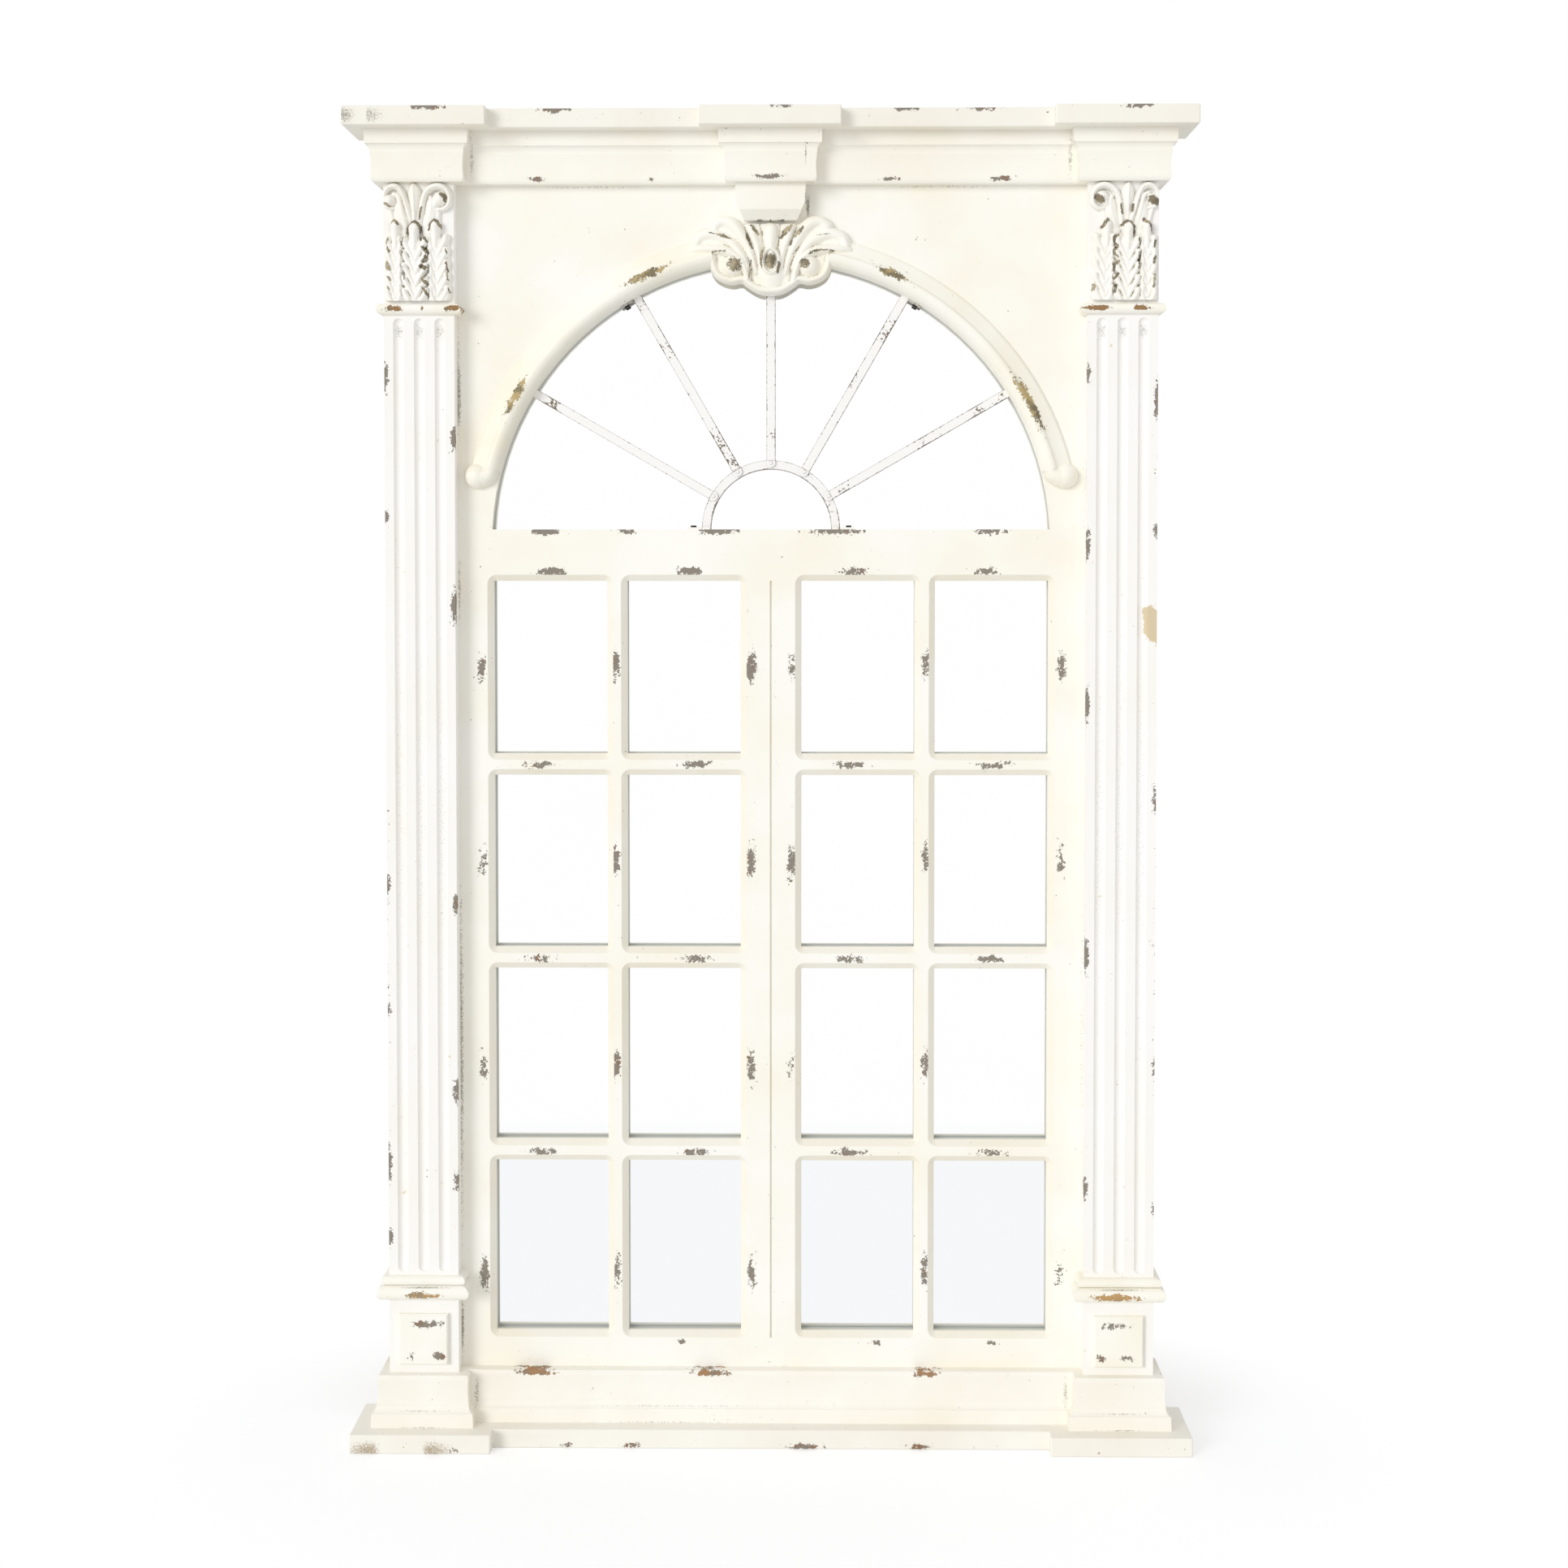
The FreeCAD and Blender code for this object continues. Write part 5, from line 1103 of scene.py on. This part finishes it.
right_worn = [
    [(-43, 1705, 7, 1.4), (-37, 1708, 7.5, 1.35)],
    [(32, 1707, 7, 1.4), (36, 1711, 6.5, 1.35)],
    [(-27, 1681, 4, 1.25), (-35, 1673, 3.6, 1.2), (-38.5, 1664, 3, 1.15)],
    [(-14, 1664, 2.6, 1.15), (-12.5, 1673, 3, 1.25), (-5, 1679, 3.2, 1.25), (2.5, 1674, 3, 1.25)],
    [(22, 1681.5, 3.6, 1.2), (30, 1671, 3.4, 1.15)],
    [(6, 1661, 2.2, 1.2), (12, 1658, 2.8, 1.3), (14, 1650, 2.2, 1.2), (9, 1646, 2, 1.1)],
    [(10, 1643, 3, 1.25), (14, 1637, 2.6, 1.2), (9, 1630, 2, 1.1)],
    [(8, 1624, 3, 1.25), (13, 1620, 3, 1.25), (14, 1613, 2, 1.1)],
    [(9, 1607, 3.6, 1.25), (14, 1601, 2.4, 1.15)],
    [(11, 1592, 3, 1.2), (13, 1584, 3.2, 1.15)],
    [(-20, 1654, 3, 1.1), (-22, 1647, 2.4, 1.0)],
    [(-21, 1636, 3, 1.1), (-20, 1614, 2.4, 0.95)],
    [(-42, 1652, 3, 1.15), (-41, 1644, 2.4, 1.0)],
    [(-42, 1630, 3.2, 1.15), (-40, 1622, 2.6, 1.0)],
    [(-41, 1607, 3, 1.1), (-40, 1590, 2.8, 1.0)],
    [(41, 1592, 4, 1.1), (42, 1586, 3, 1.0)],
    [(2.5, 1689, 2.4, 1.1), (4.5, 1701, 2.4, 1.05)],
    [(-11, 1692, 2.2, 1.0), (-12.5, 1702, 2.0, 0.95)],
]
leaf_paint = carving_paint(
    "rubbed_white_paint_on_capitals", 0.35, coat="FCFAF4", aged="F9F5EA", soil="A1977F"
)
for label, side, worn_here in (("left", 1, left_worn), ("right", -1, right_worn)):
    middle = -479.5 * side
    low, high = [(corner.x * 1000, corner.z * 1000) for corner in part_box(f"capital_{label}")]
    drawn = dict(capital_strokes, worn=worn_here, over=front_strokes)
    name = f"carved_capital_{label}"
    capital = carve(name, drawn, middle, side, pilaster_face, low, high, 0.7)
    put_on(capital, leaf_paint, f"capital_{label}")


# ---------------------------------------------------------------------------------------------
# Iron fan. A half ring and five bars of 3 mm flat iron, 12 mm wide, riveted together and screwed to
# the sill and the arch's edge. Thin white paint, worn to brown iron on the arrises.
# ---------------------------------------------------------------------------------------------
finish, tree, place, x, y, z = new_finish("thin_white_paint_on_iron")
face = add(tree, "ShaderNodeNewGeometry")
facing = add(tree, "ShaderNodeSeparateXYZ", {}, {0: face.outputs["Normal"]})
flank = add(tree, "ShaderNodeMath", {"operation": "ABSOLUTE"}, {0: facing.outputs[1]})
flank = add(tree, "ShaderNodeMapRange", {1: 0.3, 2: 0.8, 3: 1.0, 4: 0.0}, {0: flank})
blot = add(
    tree, "ShaderNodeTexNoise", {"Scale": 26.0, "Detail": 2.0, "Roughness": 0.5}, {"Vector": place}
)
blot = add(tree, "ShaderNodeMapRange", {1: 0.5, 2: 0.72, 3: 0.0, 4: 1.0}, {0: blot})
tear = add(
    tree, "ShaderNodeTexNoise", {"Scale": 240.0, "Detail": 5.0, "Roughness": 0.65}, {"Vector": place}
)
tear = add(tree, "ShaderNodeMath", {"operation": "MULTIPLY_ADD", 1: 0.24}, {0: blot, 2: tear})
# The paint is thinnest on the arrises: how far a point lies off the middle of its bar.
sill_height = 1.262
ring_middle = 0.0895
ring_outside = 0.0957
rise = add(tree, "ShaderNodeMath", {"operation": "SUBTRACT", 1: sill_height}, {0: z})
out_from_hub = add(tree, "ShaderNodeCombineXYZ", {}, {0: x, 1: rise})
out_from_hub = add(tree, "ShaderNodeVectorMath", {"operation": "LENGTH"}, {0: out_from_hub})
out_from_hub = out_from_hub.outputs["Value"]
turn = add(tree, "ShaderNodeMath", {"operation": "ARCTAN2"}, {0: x, 1: rise})
half_gap = math.radians(15)
turn = add(tree, "ShaderNodeMath", {"operation": "WRAP", 1: half_gap, 2: -half_gap}, {0: turn})
off_bar = add(tree, "ShaderNodeMath", {"operation": "SINE"}, {0: turn})
off_bar = add(tree, "ShaderNodeMath", {"operation": "MULTIPLY"}, {0: off_bar, 1: out_from_hub})
off_bar = add(tree, "ShaderNodeMath", {"operation": "ABSOLUTE"}, {0: off_bar})
off_ring = add(tree, "ShaderNodeMath", {"operation": "SUBTRACT", 1: ring_middle}, {0: out_from_hub})
off_ring = add(tree, "ShaderNodeMath", {"operation": "ABSOLUTE"}, {0: off_ring})
on_bar = add(
    tree, "ShaderNodeMath", {"operation": "GREATER_THAN", 1: ring_outside}, {0: out_from_hub}
)
off_middle = add(
    tree, "ShaderNodeMix", {"data_type": "FLOAT"}, {0: on_bar, 2: off_ring, 3: off_bar}
)
arris = add(tree, "ShaderNodeMapRange", {1: 0.0043, 2: 0.0058, 3: 0.0, 4: 1.0}, {0: off_middle})
tear = add(tree, "ShaderNodeMath", {"operation": "MULTIPLY_ADD", 1: 0.2}, {0: arris, 2: tear})
worn = add(tree, "ShaderNodeMapRange", {1: 0.735, 2: 0.75, 3: 0.0, 4: 1.0}, {0: tear})
iron = add(
    tree, "ShaderNodeMix", {"data_type": "RGBA", 6: linear("F9F7F4"), 7: linear("7E7264")}, {0: worn}
)
# A thin dark line along each bar's edges: painted shade.
edge_painted_shade = add(tree, "ShaderNodeMapRange", {1: 0.0051, 2: 0.0058, 3: 0.0, 4: 0.55}, {0: off_middle})
iron = add(
    tree,
    "ShaderNodeMix",
    {"data_type": "RGBA", 7: linear("8D857A")},
    {0: edge_painted_shade, 6: iron.outputs[2]},
)
# The bars' sides are painted darker still: painted shade.
shadowed = add(tree, "ShaderNodeMath", {"operation": "MULTIPLY", 1: 0.55}, {0: flank})
iron = add(
    tree,
    "ShaderNodeMix",
    {"data_type": "RGBA", 7: linear("8D8077")},
    {0: shadowed, 6: iron.outputs[2]},
)
rough = add(tree, "ShaderNodeMapRange", {1: 0.0, 2: 1.0, 3: 0.45, 4: 0.8}, {0: worn})
relief = add(tree, "ShaderNodeBump", {"Strength": 0.6, "Distance": 0.0003}, {"Height": tear})
shader = add(
    tree,
    "ShaderNodeBsdfPrincipled",
    {"IOR": 1.5},
    {"Base Color": iron.outputs[2], "Roughness": rough, "Normal": relief},
)
add(tree, "ShaderNodeOutputMaterial", {}, {0: shader})
dress(finish, "fan_hub", "fan_rivets")
dress(finish, *[f"fan_spoke_{number}" for number in range(1, 6)])


def fastener_metal(name, dark, bright, rough_low, rough_high):
    """Plated or blackened steel of small fasteners, with handling wear in spots of 2 mm."""
    finish, tree, place, *_ = new_finish(name)
    rub = add(tree, "ShaderNodeTexNoise", {"Scale": 500.0, "Detail": 4.0}, {"Vector": place})
    ramp = add(
        tree, "ShaderNodeMix", {"data_type": "RGBA", 6: linear(dark), 7: linear(bright)}, {0: rub}
    )
    rough = add(tree, "ShaderNodeMapRange", {1: 0.3, 2: 0.7, 3: rough_high, 4: rough_low}, {0: rub})
    relief = add(tree, "ShaderNodeBump", {"Strength": 0.3, "Distance": 0.0002}, {"Height": rub})
    shader = add(
        tree,
        "ShaderNodeBsdfPrincipled",
        {"Metallic": 1.0},
        {"Base Color": ramp.outputs[2], "Roughness": rough, "Normal": relief},
    )
    add(tree, "ShaderNodeOutputMaterial", {}, {0: shader})
    return finish


dress(fastener_metal("black_oxide_steel", "1B1A19", "4A4642", 0.35, 0.6), "fan_screws")
zinc = fastener_metal("zinc_plated_steel", "B9BCBE", "D8DADB", 0.25, 0.5)
dress(zinc, "frame_screws", "hanger_screws", "hanger_plate_left", "hanger_plate_right")


# ---------------------------------------------------------------------------------------------
# Studio. A pale floor that fades to white, even light from all round, and one soft sun from high on
# the left. The mirrors show the pale blue-grey floor close by and white further off.
# ---------------------------------------------------------------------------------------------
floor_mesh = bpy.data.meshes.new("studio_floor")
floor_mesh.from_pydata([(-9, -9, 0), (9, -9, 0), (9, 9, 0), (-9, 9, 0)], [], [(0, 1, 2, 3)])
floor = bpy.data.objects.new("studio_floor", floor_mesh)
bpy.context.scene.collection.objects.link(floor)
finish, tree, place, x, y, z = new_finish("pale_studio_floor")
rays = add(tree, "ShaderNodeLightPath")
far = add(tree, "ShaderNodeMapRange", {1: -1.36, 2: -1.7, 3: 0.0, 4: 1.0}, {0: y})
in_mirror = add(
    tree, "ShaderNodeMix", {"data_type": "RGBA", 6: linear("F6F8FA"), 7: linear("FFFFFF")}, {0: far}
)
seen = add(tree, "ShaderNodeEmission", {"Strength": 1.0}, {0: in_mirror.outputs[2]})
matt = add(tree, "ShaderNodeBsdfDiffuse", {"Color": linear("F4F5F6")})
lift = add(tree, "ShaderNodeMath", {"operation": "MULTIPLY", 1: 0.25}, {0: rays.outputs[0]})
glow = add(tree, "ShaderNodeEmission", {"Color": linear("FFFFFF")}, {"Strength": lift})
lit = add(tree, "ShaderNodeAddShader", {}, {0: matt, 1: glow})
# Only the floor near the foot takes the object's shadow; further off the camera sees plain white.
round_foot = add(tree, "ShaderNodeMapping", {"Scale": (1.0, 1.6, 0.0)}, {0: place})
round_foot = add(tree, "ShaderNodeVectorMath", {"operation": "LENGTH"}, {0: round_foot})
fade = add(
    tree,
    "ShaderNodeMapRange",
    {"interpolation_type": "SMOOTHSTEP", 1: 0.5, 2: 0.95, 3: 0.0, 4: 1.0},
    {0: round_foot.outputs["Value"]},
)
fade = add(tree, "ShaderNodeMath", {"operation": "MULTIPLY"}, {0: fade, 1: rays.outputs[0]})
plain_white = add(tree, "ShaderNodeEmission", {"Color": linear("FFFFFF"), "Strength": 1.0})
lit = add(tree, "ShaderNodeMixShader", {}, {0: fade, 1: lit, 2: plain_white})
mirrored = add(
    tree,
    "ShaderNodeMath",
    {"operation": "MAXIMUM"},
    {0: rays.outputs["Is Glossy Ray"], 1: rays.outputs["Is Transmission Ray"]},
)
shader = add(tree, "ShaderNodeMixShader", {}, {0: mirrored, 1: lit, 2: seen})
add(tree, "ShaderNodeOutputMaterial", {}, {0: shader})
floor_mesh.materials.append(finish)

world = bpy.data.worlds.new("white_studio")
bpy.context.scene.world = world
world.use_nodes = True
world.node_tree.nodes.clear()
tree = world.node_tree
rays = add(tree, "ShaderNodeLightPath")
direct = add(
    tree,
    "ShaderNodeMath",
    {"operation": "MAXIMUM"},
    {0: rays.outputs["Is Camera Ray"], 1: rays.outputs["Is Glossy Ray"]},
)
direct = add(
    tree,
    "ShaderNodeMath",
    {"operation": "MAXIMUM"},
    {0: direct, 1: rays.outputs["Is Transmission Ray"]},
)
first = add(
    tree, "ShaderNodeMath", {"operation": "LESS_THAN", 1: 0.5}, {0: rays.outputs["Diffuse Depth"]}
)
direct = add(tree, "ShaderNodeMath", {"operation": "MULTIPLY"}, {0: direct, 1: first})
level = add(tree, "ShaderNodeMapRange", {1: 0.0, 2: 1.0, 3: 0.7, 4: 1.0}, {0: direct})
sky = add(tree, "ShaderNodeBackground", {0: linear("FFFFFF")}, {1: level})
add(tree, "ShaderNodeOutputWorld", {}, {0: sky})

lamp = bpy.data.lights.new("soft_key", "SUN")
lamp.angle = math.radians(26)
lamp.energy = 1.2
key = bpy.data.objects.new("soft_key", lamp)
key.location = (-2.6, -3.4, 2.0)
towards = Vector((0.0, 0.0, 1.0)) - key.location
key.rotation_euler = towards.to_track_quat("-Z", "Y").to_euler()
bpy.context.scene.collection.objects.link(key)

# The camera was fitted to the photograph: focal length and frame width in its pixels, angles in
# degrees.
focal_length = 2750
frame_width = 1932
tilt_down = 1.785
turn_left = 0.65
lens = bpy.data.cameras.new("camera")
lens.sensor_width = 36.0
lens.lens = focal_length / frame_width * lens.sensor_width
lens.shift_y = -0.10
camera = bpy.data.objects.new("camera", lens)
camera.location = (0.05306, -3.0605, 1.2231)
camera.rotation_euler = (math.radians(90 - tilt_down), 0.0, math.radians(turn_left))
bpy.context.scene.collection.objects.link(camera)
bpy.context.scene.camera = camera
bpy.context.scene.view_settings.view_transform = "Standard"
